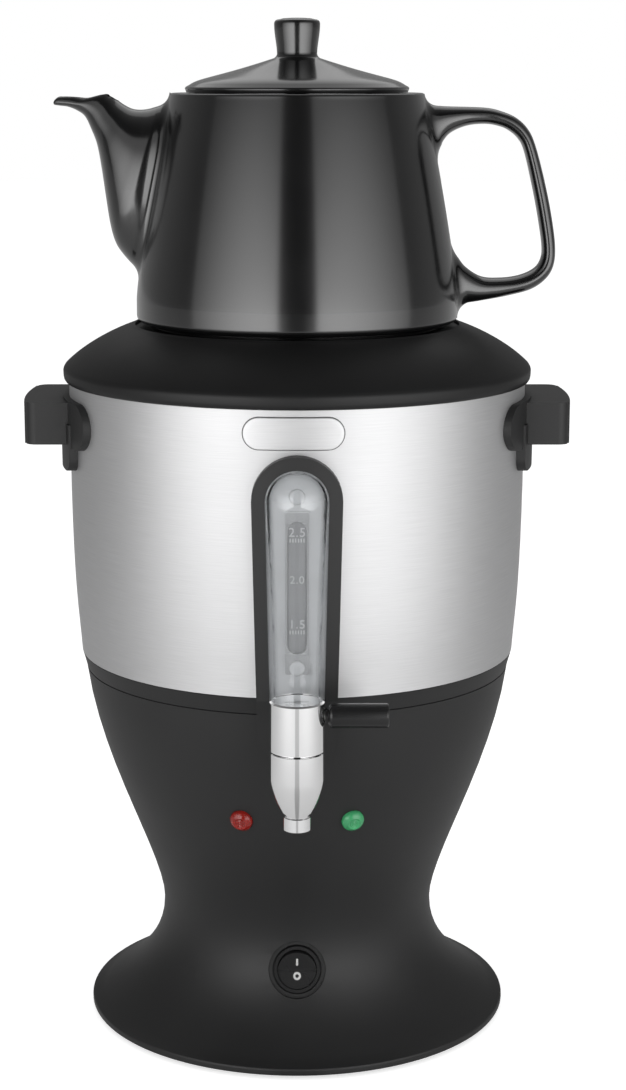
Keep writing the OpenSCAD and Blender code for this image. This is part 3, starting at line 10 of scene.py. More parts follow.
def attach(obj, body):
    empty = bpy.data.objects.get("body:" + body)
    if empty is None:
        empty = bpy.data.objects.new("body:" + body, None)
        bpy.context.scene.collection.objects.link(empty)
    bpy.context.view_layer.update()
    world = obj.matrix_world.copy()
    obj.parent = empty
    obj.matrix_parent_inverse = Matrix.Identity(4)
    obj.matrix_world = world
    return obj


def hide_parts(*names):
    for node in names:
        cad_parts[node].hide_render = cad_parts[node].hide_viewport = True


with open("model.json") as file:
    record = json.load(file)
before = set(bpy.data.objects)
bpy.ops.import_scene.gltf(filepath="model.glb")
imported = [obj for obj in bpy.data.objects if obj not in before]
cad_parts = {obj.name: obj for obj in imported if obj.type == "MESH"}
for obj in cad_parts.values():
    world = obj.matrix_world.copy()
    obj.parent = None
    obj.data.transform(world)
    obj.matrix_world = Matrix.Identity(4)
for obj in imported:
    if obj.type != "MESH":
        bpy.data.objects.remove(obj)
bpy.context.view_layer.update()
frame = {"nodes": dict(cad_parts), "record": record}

scene = bpy.context.scene
nodes = frame["nodes"]
mm = 0.001
print("frame loaded:", len(nodes), "nodes")


def placed(name, data):
    piece = bpy.data.objects.new(name, data)
    scene.collection.objects.link(piece)
    return piece


def addNode(tree, kind, inputs=None, **settings):
    # a node with its settings; each input is a value or a socket to join, by label or number
    node = tree.nodes.new(kind)
    for label, value in settings.items():
        setattr(node, label, value)
    for label, value in (inputs or {}).items():
        if isinstance(value, bpy.types.NodeSocket):
            tree.links.new(value, node.inputs[label])
        else:
            node.inputs[label].default_value = value
    return node


def mathNode(tree, operation, a, b=None):
    inputs = {0: a} if b is None else {0: a, 1: b}
    return addNode(tree, "ShaderNodeMath", inputs, operation=operation).outputs[0]


def rangeNode(tree, value, low, high, toLow, toHigh, kind="LINEAR"):
    inputs = {"Value": value, "From Min": low, "From Max": high, "To Min": toLow, "To Max": toHigh}
    return addNode(tree, "ShaderNodeMapRange", inputs, interpolation_type=kind).outputs["Result"]


def axesOf(tree, vector):
    return addNode(tree, "ShaderNodeSeparateXYZ", {0: vector}).outputs


def newMaterial(name):
    paint = bpy.data.materials.new(name)
    paint.use_nodes = True
    tree = paint.node_tree
    coords = addNode(tree, "ShaderNodeTexCoord").outputs["Object"]
    return paint, tree, tree.nodes["Principled BSDF"].inputs, coords


# camera, in metres and degrees
view = {"distance": 1.058, "height": 0.4432, "pitch": 11.74, "lens": 76.26, "sensor": 36, "shift": 0.0146}


def placeCamera():
    data = bpy.data.cameras.new("shotCamera")
    data.lens = view["lens"]
    data.sensor_width = view["sensor"]
    data.shift_x = view["shift"]
    camera = placed("shotCamera", data)
    camera.location = (0, -view["distance"], view["height"])
    camera.rotation_euler = (math.radians(90 - view["pitch"]), 0, 0)
    scene.camera = camera


# soft boxes, room and floor; a fade is (from, to, strength before, strength after)
studio = {
    "leftAngle": 44, "leftWidth": 1.38, "leftGain": 1,
    "rightAngle": 48, "rightWidth": 1.58, "rightGain": 1.12,
    "sideDistance": 1.06, "sideHeight": 1.35, "sidePower": 19,
    "fadeIn": (0.0, 0.07, 0.0, 1.0), "fadeOut": (0.24, 1.08, 1.0, 0.15), "fadeUp": (0.25, 0.7, 1.0, 0.2),
    "topHeight": 1.45, "topSize": 1.3, "topBack": 0.95, "topAim": 0.4, "topPower": 2.4,
    "roomFade": (-0.75, 0.35, 0.04, 0.22),
    "floorSize": 16, "floorTone": 0.6, "floorRoughness": 0.8, "floorLevel": 0.1, "floorGlow": 0.62,
    "floorShadow": 0.25, "floorShine": 0.26, "stripNear": 0.05, "stripWidth": 0.1, "stripFade": 1.35,
}


def softBox(name, place, aim, width, height, power):
    data = bpy.data.lights.new(name, "AREA")
    data.shape = "RECTANGLE"
    data.size = width
    data.size_y = height
    data.energy = power
    lamp = placed(name, data)
    lamp.visible_camera = False
    lamp.location = place
    lamp.rotation_euler = (Vector(aim) - Vector(place)).to_track_quat("-Z", "Y").to_euler()
    return lamp


def fadeBox(lamp, side):
    # the cloth is brightest beside the camera and fades outward and upward
    lamp.data.use_nodes = True
    tree = lamp.data.node_tree
    place = axesOf(tree, addNode(tree, "ShaderNodeNewGeometry").outputs["Parametric"])
    flip, start = ("SUBTRACT", 1.0) if side < 0 else ("ADD", 0.0)
    across = mathNode(tree, flip, start, place["X"])
    ramps = [rangeNode(tree, across, *studio[fade], "SMOOTHSTEP") for fade in ("fadeIn", "fadeOut")]
    upward = rangeNode(tree, place["Y"], *studio["fadeUp"], "SMOOTHSTEP")
    strength = mathNode(tree, "MULTIPLY", mathNode(tree, "MULTIPLY", *ramps), upward)
    tree.links.new(strength, tree.nodes["Emission"].inputs["Strength"])


def lightStudio():
    s = studio
    for name, side in (("left", -1), ("right", 1)):
        turn = math.radians(side * s[name + "Angle"])
        middle = s["sideHeight"] / 2
        place = (s["sideDistance"] * math.sin(turn), -s["sideDistance"] * math.cos(turn), middle)
        power = s["sidePower"] * s[name + "Gain"]
        lamp = softBox(name + "Box", place, (0, 0, middle), s[name + "Width"], s["sideHeight"], power)
        fadeBox(lamp, side)
    place = (0, s["topBack"], s["topHeight"])
    softBox("topBox", place, (0, 0, s["topAim"]), s["topSize"], s["topSize"], s["topPower"])
    world = bpy.data.worlds.new("paleRoom")
    scene.world = world
    world.use_nodes = True
    tree = world.node_tree
    background = tree.nodes["Background"].inputs
    background["Color"].default_value = (1, 1, 1, 1)
    # white to the camera; to everything else dark behind the camera and paler beside and behind the object
    around = axesOf(tree, addNode(tree, "ShaderNodeTexCoord").outputs["Generated"])["Y"]
    room = rangeNode(tree, around, *s["roomFade"], "SMOOTHSTEP")
    seen = addNode(tree, "ShaderNodeLightPath").outputs["Is Camera Ray"]
    tree.links.new(mathNode(tree, "MAXIMUM", seen, room), background["Strength"])
    scene.view_settings.view_transform = "Standard"


def layFloor():
    s = studio
    half = s["floorSize"] / 2
    mesh = bpy.data.meshes.new("studioFloor")
    mesh.from_pydata(
        [(-half, -half, 0), (half, -half, 0), (half, half, 0), (-half, half, 0)], [], [(0, 1, 2, 3)]
    )
    floor = placed("studioFloor", mesh)
    paint, tree, shader, coords = newMaterial("paleFloor")
    shader["Base Color"].default_value = (s["floorTone"], s["floorTone"], s["floorTone"], 1)
    shader["Roughness"].default_value = s["floorRoughness"]
    shader["Specular IOR Level"].default_value = s["floorLevel"]
    shader["Emission Color"].default_value = (1, 1, 1, 1)
    path = addNode(tree, "ShaderNodeLightPath").outputs
    # to the camera the floor glows, dimmed by ambient occlusion near the object: a painted contact shadow
    aoShadow = addNode(tree, "ShaderNodeAmbientOcclusion", {"Distance": s["floorShadow"]}).outputs["AO"]
    glow = rangeNode(tree, aoShadow, 0, 1, s["floorGlow"], 1)
    glow = mathNode(tree, "MULTIPLY", path["Is Camera Ray"], glow)
    # a painted reflection: glossy rays see the floor glow pale, but for a dark strip that widens toward the
    # camera, a painted shadow of the camera
    place = axesOf(tree, coords)
    toward = mathNode(tree, "MAXIMUM", mathNode(tree, "MULTIPLY", place["Y"], -1), s["stripNear"])
    aside = mathNode(tree, "DIVIDE", mathNode(tree, "ABSOLUTE", place["X"]), toward)
    edge = s["stripWidth"]
    shine = rangeNode(tree, aside, edge, edge * s["stripFade"], 0, s["floorShine"], "SMOOTHSTEP")
    shine = mathNode(tree, "MULTIPLY", shine, path["Is Glossy Ray"])
    tree.links.new(mathNode(tree, "ADD", glow, shine), shader["Emission Strength"])
    mesh.materials.append(paint)


placeCamera()
lightStudio()
layFloor()
print("studio ready")


def shaderGroup(name, inputs, outputs):
    # inputs are {label: default, or None for a vector}; every output is a number
    group = bpy.data.node_groups.new(name, "ShaderNodeTree")
    for label, default in inputs.items():
        kind = "NodeSocketVector" if default is None else "NodeSocketFloat"
        socket = group.interface.new_socket(label, in_out="INPUT", socket_type=kind)
        if default is not None:
            socket.default_value = default
    for label in outputs:
        group.interface.new_socket(label, in_out="OUTPUT", socket_type="NodeSocketFloat")
    return group, group.nodes.new("NodeGroupInput").outputs, group.nodes.new("NodeGroupOutput").inputs


def noiseNode(tree, vector, scale, detail=2.0, roughness=0.5):
    inputs = {"Vector": vector, "Scale": scale, "Detail": detail, "Roughness": roughness}
    return addNode(tree, "ShaderNodeTexNoise", inputs).outputs["Fac"]


def makeGrainGroup():
    # fine moulded grain with slow unevenness under it
    group, start, end = shaderGroup(
        "mouldGrain", {"Vector": None, "Grain Scale": 1500.0, "Patch Scale": 14.0}, ["Height", "Patches"]
    )
    fine = noiseNode(group, start["Vector"], start["Grain Scale"], 3.0, 0.6)
    patches = noiseNode(group, start["Vector"], start["Patch Scale"], 3.0, 0.55)
    group.links.new(fine, end["Height"])
    group.links.new(rangeNode(group, patches, 0.3, 0.7, 0, 1), end["Patches"])
    return group


def makeBrushGroup():
    # hairlines that run round the Z axis: stretched noise on angle and height
    group, start, end = shaderGroup(
        "brushedLines", {"Vector": None, "Line Scale": 2600.0, "Run": 3.0, "Patch Scale": 9.0},
        ["Lines", "Patches"],
    )
    place = axesOf(group, start["Vector"])
    turn = mathNode(group, "ARCTAN2", place["X"], mathNode(group, "MULTIPLY", place["Y"], -1))
    run = mathNode(group, "MULTIPLY", turn, start["Run"])
    rise = mathNode(group, "MULTIPLY", place["Z"], start["Line Scale"])
    stretched = addNode(group, "ShaderNodeCombineXYZ", {"X": run, "Y": rise}).outputs[0]
    lines = noiseNode(group, stretched, 1.0, 4.0, 0.65)
    patches = noiseNode(group, start["Vector"], start["Patch Scale"])
    group.links.new(rangeNode(group, lines, 0.25, 0.75, 0, 1), end["Lines"])
    group.links.new(rangeNode(group, patches, 0.3, 0.7, 0, 1), end["Patches"])
    return group


grainGroup = makeGrainGroup()
brushGroup = makeBrushGroup()


def useGroup(tree, group, vector, **values):
    node = addNode(tree, "ShaderNodeGroup", node_tree=group)
    tree.links.new(vector, node.inputs["Vector"])
    for label, value in values.items():
        node.inputs[label.replace("_", " ")].default_value = value
    return node.outputs


def mixColours(tree, factor, low, high):
    inputs = {"Factor": factor, "A": (*low, 1), "B": (*high, 1)}
    return addNode(tree, "ShaderNodeMix", inputs, data_type="RGBA").outputs["Result"]


def bump(tree, height, strength, distance):
    inputs = {"Height": height, "Strength": strength, "Distance": distance}
    return addNode(tree, "ShaderNodeBump", inputs).outputs["Normal"]


def patchyBase(name, low, high, rough, **scales):
    # colour and roughness drift from patch to patch; rough is (lowest, highest)
    paint, tree, shader, coords = newMaterial(name)
    surface = useGroup(tree, grainGroup, coords, **scales)
    tree.links.new(mixColours(tree, surface["Patches"], low, high), shader["Base Color"])
    tree.links.new(rangeNode(tree, surface["Patches"], 0, 1, *rough), shader["Roughness"])
    return paint, tree, shader, coords, surface["Height"]


def mouldedFinish(name, low, high, roughness, grain, depth, level=0.5):
    paint, tree, shader, coords, height = patchyBase(
        name, low, high, (roughness - 0.03, roughness + 0.04), Grain_Scale=grain
    )
    shader["Specular IOR Level"].default_value = level
    tree.links.new(bump(tree, height, 0.35, depth), shader["Normal"])
    return paint


def polishedFinish(name, low, high, roughness):
    paint, tree, shader, coords, height = patchyBase(
        name, low, high, (roughness * 0.7, roughness * 1.4), Grain_Scale=700.0, Patch_Scale=60.0
    )
    shader["Metallic"].default_value = 1
    tree.links.new(bump(tree, height, 0.03, 0.00002), shader["Normal"])
    return paint


def glazeFinish(name, low, high, roughness):
    # black body under a clear glaze with slow waves
    paint, tree, shader, coords, height = patchyBase(
        name, low, high, (roughness - 0.02, roughness + 0.03), Grain_Scale=420.0, Patch_Scale=22.0
    )
    shader["Coat Weight"].default_value = 1.0
    shader["Coat Roughness"].default_value = 0.13
    waves = noiseNode(tree, coords, 34.0, 2.0, 0.45)
    height = mathNode(tree, "ADD", waves, mathNode(tree, "MULTIPLY", height, 0.02))
    tree.links.new(bump(tree, height, 0.12, 0.0006), shader["Normal"])
    return paint


def clearFinish(name, tint, roughness, weight, shade=0.0):
    # with a shade, a shadow ray meets a tinted transparent surface, so that light comes through
    dark = tuple(c * 0.94 for c in tint)
    paint, tree, shader, coords, height = patchyBase(
        name, dark, tint, (roughness * 0.7, roughness * 1.3), Grain_Scale=500.0, Patch_Scale=45.0
    )
    shader["Transmission Weight"].default_value = weight
    shader["IOR"].default_value = 1.49
    if shade:
        through = addNode(tree, "ShaderNodeBsdfTransparent", {"Color": (*(c * shade for c in tint), 1)})
        blend = addNode(tree, "ShaderNodeMixShader", {
            "Fac": addNode(tree, "ShaderNodeLightPath").outputs["Is Shadow Ray"],
            1: tree.nodes["Principled BSDF"].outputs["BSDF"], 2: through.outputs["BSDF"],
        })
        tree.links.new(blend.outputs["Shader"], tree.nodes["Material Output"].inputs["Surface"])
    return paint


def brushedFinish(name, low, high, roughness):
    paint, tree, shader, coords = newMaterial(name)
    surface = useGroup(tree, brushGroup, coords, Line_Scale=2600.0, Run=5.0)
    tree.links.new(mixColours(tree, surface["Lines"], low, high), shader["Base Color"])
    streak = mathNode(tree, "MULTIPLY", surface["Lines"], 0.10)
    cloud = mathNode(tree, "MULTIPLY", surface["Patches"], 0.05)
    rough = mathNode(tree, "ADD", mathNode(tree, "ADD", streak, cloud), roughness - 0.07)
    tree.links.new(rough, shader["Roughness"])
    shader["Metallic"].default_value = 1
    shader["Anisotropic"].default_value = 0.25
    shader["Anisotropic Rotation"].default_value = 0.25
    tangent = addNode(tree, "ShaderNodeTangent", direction_type="RADIAL", axis="Z")
    tree.links.new(tangent.outputs["Tangent"], shader["Tangent"])
    tree.links.new(bump(tree, surface["Lines"], 0.08, 0.00004), shader["Normal"])
    return paint


def grey(tone, blue=0.0):
    return (tone, tone, tone + blue)


# per slot: the maker, then what it is called with
finishes = {
    "black_plastic": (
        mouldedFinish, "mattBlack", grey(0.0135, 0.0002), grey(0.017, 0.0002), 0.48, 1900.0, 0.00006, 0.4
    ),
    "steel": (brushedFinish, "brushedSteel", grey(0.58, 0.005), grey(0.68, 0.005), 0.53),
    "chrome": (polishedFinish, "chromePlate", grey(0.95, 0.005), grey(0.98), 0.045),
    "ceramic": (glazeFinish, "blackGlaze", grey(0.0032, 0.0002), grey(0.0052, 0.0002), 0.2),
    "black_gloss": (
        mouldedFinish, "blackGloss", grey(0.008, 0.0003), grey(0.012, 0.0003), 0.27, 1200.0, 0.00003
    ),
    "clear_cover": (clearFinish, "clearCover", (0.93, 0.94, 0.95), 0.05, 1.0, 0.92),
    "grey_plastic": (
        mouldedFinish, "gaugeGrey", (0.5, 0.505, 0.51), (0.56, 0.565, 0.57), 0.5, 900.0, 0.00004
    ),
    "red_lens": (clearFinish, "redLens", (0.55, 0.03, 0.02), 0.12, 0.5),
    "green_lens": (clearFinish, "greenLens", (0.12, 0.72, 0.3), 0.12, 0.5),
    "rubber": (mouldedFinish, "blackRubber", grey(0.012), grey(0.02), 0.75, 1400.0, 0.0001),
    "silicone": (mouldedFinish, "paleSilicone", (0.5, 0.46, 0.41), (0.58, 0.54, 0.48), 0.6, 600.0, 0.00005),
    "zinc_steel": (polishedFinish, "zincPlate", grey(0.5), (0.66, 0.66, 0.64), 0.28),
    "brass": (polishedFinish, "turnedBrass", (0.55, 0.42, 0.2), (0.68, 0.54, 0.28), 0.25),
    "heater_aluminium": (polishedFinish, "castAluminium", (0.5, 0.5, 0.51), (0.64, 0.64, 0.65), 0.42),
    "element_tube": (polishedFinish, "heatedTube", (0.2, 0.16, 0.14), (0.36, 0.33, 0.31), 0.38),
    "phenolic": (mouldedFinish, "phenolicCase", (0.12, 0.07, 0.04), (0.2, 0.13, 0.08), 0.5, 700.0, 0.00005),
    "steatite": (mouldedFinish, "steatiteBody", (0.62, 0.58, 0.5), (0.72, 0.68, 0.6), 0.65, 700.0, 0.00006),
    "nylon": (mouldedFinish, "naturalNylon", (0.6, 0.6, 0.56), (0.7, 0.7, 0.66), 0.5, 700.0, 0.00004),
}
material = {slot: maker(*values) for slot, (maker, *values) in finishes.items()}
slotOf = {part["node"]: part["material_slot"] for part in frame["record"]["subparts"]}
print("finishes made:", len(material))


def geometryTree(name, inputs):
    # inputs are {label: kind, or (kind, default)}; every tree puts out Geometry
    tree = bpy.data.node_groups.new(name, "GeometryNodeTree")
    for label, kind in inputs.items():
        kind, default = kind if isinstance(kind, tuple) else (kind, None)
        socket = tree.interface.new_socket(label, in_out="INPUT", socket_type="NodeSocket" + kind)
        if default is not None:
            socket.default_value = default
    tree.interface.new_socket("Geometry", in_out="OUTPUT", socket_type="NodeSocketGeometry")
    return tree, tree.nodes.new("NodeGroupInput").outputs, tree.nodes.new("NodeGroupOutput").inputs


def softened(tree, mesh, distance, angle):
    # welds what is nearer than a distance in mm and shades smooth, except across sharper edges than the angle
    weld = addNode(tree, "GeometryNodeMergeByDistance", {"Geometry": mesh, "Distance": distance * mm})
    turn = addNode(tree, "GeometryNodeInputMeshEdgeAngle").outputs["Unsigned Angle"]
    soft = addNode(tree, "FunctionNodeCompare", data_type="FLOAT", operation="LESS_THAN")
    tree.links.new(turn, soft.inputs[0])
    tree.links.new(angle, soft.inputs[1])
    whole = {"Geometry": weld.outputs["Geometry"]}
    faces = addNode(tree, "GeometryNodeSetShadeSmooth", whole, domain="FACE")
    apart = {"Geometry": faces.outputs["Geometry"], "Shade Smooth": soft.outputs["Result"]}
    return addNode(tree, "GeometryNodeSetShadeSmooth", apart, domain="EDGE").outputs["Geometry"]


def realised(tree, geometry):
    return addNode(tree, "GeometryNodeRealizeInstances", {"Geometry": geometry}).outputs["Geometry"]


def coated(tree, start, end, geometry):
    # ends a tree with its geometry in the finish that it is given
    coat = addNode(tree, "GeometryNodeSetMaterial", {"Geometry": geometry, "Material": start["Finish"]})
    tree.links.new(coat.outputs["Geometry"], end["Geometry"])
    return tree


def atPoints(tree, points, body, turn):
    inputs = {"Points": points, "Instance": body, "Rotation": turn}
    return realised(tree, addNode(tree, "GeometryNodeInstanceOnPoints", inputs).outputs["Instances"])


def makeSmoothTree():
    inputs = {"Geometry": "Geometry", "Angle": ("Float", math.radians(24))}
    tree, start, end = geometryTree("softShade", inputs)
    tree.links.new(softened(tree, start["Geometry"], 0.002, start["Angle"]), end["Geometry"])
    return tree


def makeTurnedTree():
    # turns a half outline, drawn in the XY plane, into a closed body round the Z axis
    tree, start, end = geometryTree("turnedPiece", {
        "Outline": "Geometry", "Segments": ("Int", 192), "Crease Angle": ("Float", math.radians(32)),
        "Finish": "Material",
    })
    line = addNode(tree, "GeometryNodeMeshToCurve", {"Mesh": start["Outline"]}).outputs["Curve"]
    circle = {"Radius": 0.0001 * mm, "Resolution": start["Segments"]}
    path = addNode(tree, "GeometryNodeCurvePrimitiveCircle", circle).outputs["Curve"]
    sweep = addNode(tree, "GeometryNodeCurveToMesh", {"Curve": path, "Profile Curve": line}).outputs["Mesh"]
    smooth = softened(tree, sweep, 0.004, start["Crease Angle"])
    return coated(tree, start, end, realised(tree, smooth))


def makeDrillTree():
    # a rod along X at every point, as one body
    tree, start, end = geometryTree("rodAtPoints", {
        "Points": "Geometry", "Radius": ("Float", 1.7 * mm), "Length": ("Float", 30 * mm),
        "Finish": "Material",
    })
    sizes = {"Vertices": 24, "Radius": start["Radius"], "Depth": start["Length"]}
    rod = addNode(tree, "GeometryNodeMeshCylinder", sizes).outputs["Mesh"]
    return coated(tree, start, end, atPoints(tree, start["Points"], rod, (0, math.pi / 2, 0)))


def makeBarTree():
    # an upright bar with rounded ends of Width x Height x Depth at every point
    tree, start, end = geometryTree("barAtPoints", {
        "Points": "Geometry", "Width": ("Float", 0.5 * mm), "Height": ("Float", 2 * mm),
        "Depth": ("Float", 0.3 * mm), "Finish": "Material",
    })
    sizes = {"Width": start["Width"], "Height": start["Height"]}
    outline = addNode(tree, "GeometryNodeCurvePrimitiveQuadrilateral", sizes).outputs["Curve"]
    bend = mathNode(tree, "MULTIPLY", start["Width"], 0.45)
    sizes = {"Curve": outline, "Radius": bend, "Count": 5}
    fillet = addNode(tree, "GeometryNodeFilletCurve", sizes, mode="POLY")
    flat = addNode(tree, "GeometryNodeFillCurve", {"Curve": fillet.outputs["Curve"]}).outputs["Mesh"]
    raised = {"Mesh": flat, "Offset Scale": start["Depth"], "Individual": False}
    thick = addNode(tree, "GeometryNodeExtrudeMesh", raised).outputs["Mesh"]
    under = addNode(tree, "GeometryNodeFlipFaces", {"Mesh": flat}).outputs["Mesh"]
    both = addNode(tree, "GeometryNodeJoinGeometry", {"Geometry": thick})
    tree.links.new(under, both.inputs["Geometry"])
    bars = atPoints(tree, start["Points"], both.outputs["Geometry"], (math.pi / 2, 0, 0))
    weld = addNode(tree, "GeometryNodeMergeByDistance", {"Geometry": bars, "Distance": 0.002 * mm})
    return coated(tree, start, end, weld.outputs["Geometry"])


smoothTree = makeSmoothTree()
turnedTree = makeTurnedTree()
drillTree = makeDrillTree()
barTree = makeBarTree()


def dressNodes():
    for name, part in nodes.items():
        finish = material[slotOf[name]]
        if part.material_slots:
            for place in part.material_slots:
                place.material = finish
        else:
            part.data.materials.append(finish)
        part.modifiers.new("softShade", "NODES").node_group = smoothTree


dressNodes()
print("CAD nodes dressed")


def finalMesh(piece):
    # a piece's mesh with its modifiers or its curves worked out
    shape = bpy.context.evaluated_depsgraph_get()
    shape.update()
    return bpy.data.meshes.new_from_object(piece.evaluated_get(shape), depsgraph=shape)


def drop(piece):
    mesh = piece.data
    bpy.data.objects.remove(piece)
    bpy.data.meshes.remove(mesh)


def faceOut(shell):
    bmesh.ops.recalc_face_normals(shell, faces=shell.faces)
    if shell.calc_volume(signed=True) < 0:
        bmesh.ops.reverse_faces(shell, faces=shell.faces)


def outward(piece, weld=0.0):
    # faces point out of a closed body; points nearer than weld are joined first
    shell = bmesh.new()
    shell.from_mesh(piece.data)
    if weld:
        bmesh.ops.remove_doubles(shell, verts=shell.verts, dist=weld)
    faceOut(shell)
    shell.to_mesh(piece.data)
    shell.free()
    return piece


def shellPiece(name, shell):
    faceOut(shell)
    mesh = bpy.data.meshes.new(name)
    shell.to_mesh(mesh)
    shell.free()
    return placed(name, mesh)


def bridge(shell, rings):
    count = len(rings[0])
    for low, high in zip(rings, rings[1:]):
        for i in range(count):
            j = (i + 1) % count
            shell.faces.new((low[i], low[j], high[j], high[i]))


def runTree(source, tree, name, **values):
    # sets a tree's inputs, makes its result a plain mesh at the origin and drops the source
    step = source.modifiers.new("tree", "NODES")
    step.node_group = tree
    for item in tree.interface.items_tree:
        key = item.name.replace(" ", "_")
        if item.in_out == "INPUT" and key in values:
            step[item.identifier] = values[key]
    mesh = finalMesh(source)
    mesh.name = name
    piece = placed(name, mesh)
    drop(source)
    return outward(piece)


def turned(name, outline, finish, **values):
    # outline: [(radius, height) in mm], with its ends on the axis, or a ring
    mesh = bpy.data.meshes.new(name + "Outline")
    count = len(outline)
    edges = [(i, (i + 1) % count) for i in range(count)]
    mesh.from_pydata([(r * mm, -z * mm, 0) for r, z in outline], edges, [])
    return runTree(placed(name + "Outline", mesh), turnedTree, name, Finish=finish, **values)


def bezierLine(a, b, c, d, steps):
    line = []
    for i in range(steps + 1):
        t = i / steps
        s = 1 - t
        line.append(tuple(
            s ** 3 * a[k] + 3 * s * s * t * b[k] + 3 * s * t * t * c[k] + t ** 3 * d[k] for k in range(2)
        ))
    return line


def arcLine(centre, radius, first, last, steps):
    line = []
    for i in range(steps + 1):
        turn = math.radians(first + (last - first) * i / steps)
        line.append((centre[0] + radius * math.cos(turn), centre[1] + radius * math.sin(turn)))
    return line


def besideLine(line, distance):
    # the line moved to the left of its direction of travel
    moved = []
    for i, point in enumerate(line):
        here, there = max(i, 1), min(i, len(line) - 2)
        before = (Vector(line[here]) - Vector(line[here - 1])).normalized()
        after = (Vector(line[there + 1]) - Vector(line[there])).normalized()
        middle = (before + after).normalized()
        reach = distance / middle.dot(after)
        moved.append((point[0] - middle.y * reach, point[1] + middle.x * reach))
    return moved


def smoothRows(rows, steps):
    # Catmull-Rom curve through rows of numbers
    line = []
    for i in range(len(rows) - 1):
        a, b, c, d = (rows[min(max(i + k, 0), len(rows) - 1)] for k in (-1, 0, 1, 2))
        for j in range(steps):
            t = j / steps
            line.append([
                q + t / 2 * (r - p + t * (2 * p - 5 * q + 4 * r - s + t * (3 * q - p - 3 * r + s)))
                for p, q, r, s in zip(a, b, c, d)
            ])
    line.append(list(rows[-1]))
    return line


# teapot, in mm: heights count from the table
teapot = {
    "foot": 326.5, "footHeight": 2.0, "footRadius": 66.0, "footWidth": 5, "footRound": 0.3, "height": 104.5,
    "bellyRadius": 73.3, "rimRadius": 57.3, "mouthRadius": 45.8, "wall": 4.4, "floor": 5,
    "bellyRound": 3.4, "rimRound": 1.2, "lipRound": 0.8, "sideSteps": 48,
    "bellyBend": (9.5, 0.1, 21), "rimBend": (6, 26),
    "spoutSides": 64, "channelSides": 48, "spoutSquare": 0.86, "handleSides": 48, "handleSquare": 0.8,
    "steps": 8, "fillet": 5.0, "filletSteps": 7, "joinSteps": 8,
    "holeRadius": 1.7, "holePitch": 3, "holeHeight": 0.6, "holeDepth": 10, "drill": 30,
}
# lower reach, lower share, upper reach, upper share, half width
spoutRows = [
    (-6, 0.21, -6, 0.955, 15), (1.3, 0.249, 0, 0.955, 19.5), (8.9, 0.317, 2.6, 0.949, 20.5),
    (12.8, 0.367, 5.5, 0.94, 20), (16.1, 0.44, 8.5, 0.932, 19), (20, 0.555, 12, 0.929, 17.5),
    (24, 0.675, 15.5, 0.933, 15.5), (28, 0.778, 19, 0.947, 13), (32, 0.845, 22.2, 0.965, 11),
    (36, 0.9, 25.5, 0.99, 9.3), (40, 0.925, 28.3, 1.007, 7.8), (44.5, 0.941, 36, 0.988, 5.8),
    (48.5, 0.946, 43, 0.99, 4.2), (51, 0.95, 49.3, 0.985, 2.8), (51.6, 0.958, 51.2, 0.972, 1.6),
]
channelRows = [
    (-9, 0.3, -9, 0.9, 14), (2, 0.35, 0, 0.905, 16.5), (9.8, 0.42, 4, 0.9, 16.4),
    (14.5, 0.52, 8, 0.897, 15), (19, 0.64, 12, 0.9, 13), (23.6, 0.76, 16, 0.916, 10.8),
    (28, 0.855, 20.4, 0.945, 8.8), (33.5, 0.925, 26.8, 1.01, 7), (39, 0.956, 35.5, 1.06, 5.2),
    (44, 0.966, 42, 1.06, 3.8), (48.5, 0.972, 48, 1.06, 2),
]
handleRows = [
    (-5, 0.953, -5, 0.7, 10.5), (0.4, 0.949, 1.5, 0.752, 10), (4.5, 0.946, 4, 0.794, 9.2),
    (10, 0.943, 8.5, 0.833, 8.4), (18.6, 0.941, 16, 0.861, 7.6), (26.8, 0.937, 24, 0.869, 7.2),
    (32.4, 0.925, 30, 0.861, 7.1), (38.7, 0.898, 34.4, 0.843, 7), (43.2, 0.851, 38.2, 0.806, 6.9),
    (45.4, 0.78, 40, 0.75, 6.8), (46.9, 0.62, 40.9, 0.6, 6.8), (47.5, 0.475, 41.3, 0.46, 6.8),
    (47.2, 0.345, 41.1, 0.34, 6.8), (45.3, 0.262, 39.5, 0.283, 6.9), (41, 0.203, 35.8, 0.245, 7),
    (33.5, 0.157, 29, 0.218, 7.3), (22, 0.128, 20.5, 0.207, 7.8), (10, 0.107, 11.8, 0.213, 8.6),
    (3.5, 0.096, 5, 0.257, 9.6), (0.2, 0.078, 1, 0.317, 10.4), (-5, 0.07, -5, 0.38, 10.8),
]


def teapotSide():
    # the wall's outer line between the roundings of belly and rim
    t = teapot
    edge, rim, belly = t["foot"] + t["footHeight"], t["foot"] + t["height"], t["bellyRadius"]
    start, inward, rise = t["bellyBend"]
    outward, fall = t["rimBend"]
    return bezierLine(
        (belly, edge + start), (belly - inward, edge + rise),
        (t["rimRadius"] + outward, rim - fall), (t["rimRadius"], rim - t["rimRound"]), t["sideSteps"],
    )


def radiusAt(line, z):
    if z <= line[0][1]:
        return line[0][0]
    for (r0, z0), (r1, z1) in zip(line, line[1:]):
        if z0 <= z <= z1:
            return r0 + (r1 - r0) * (z - z0) / (z1 - z0)
    return line[-1][0]


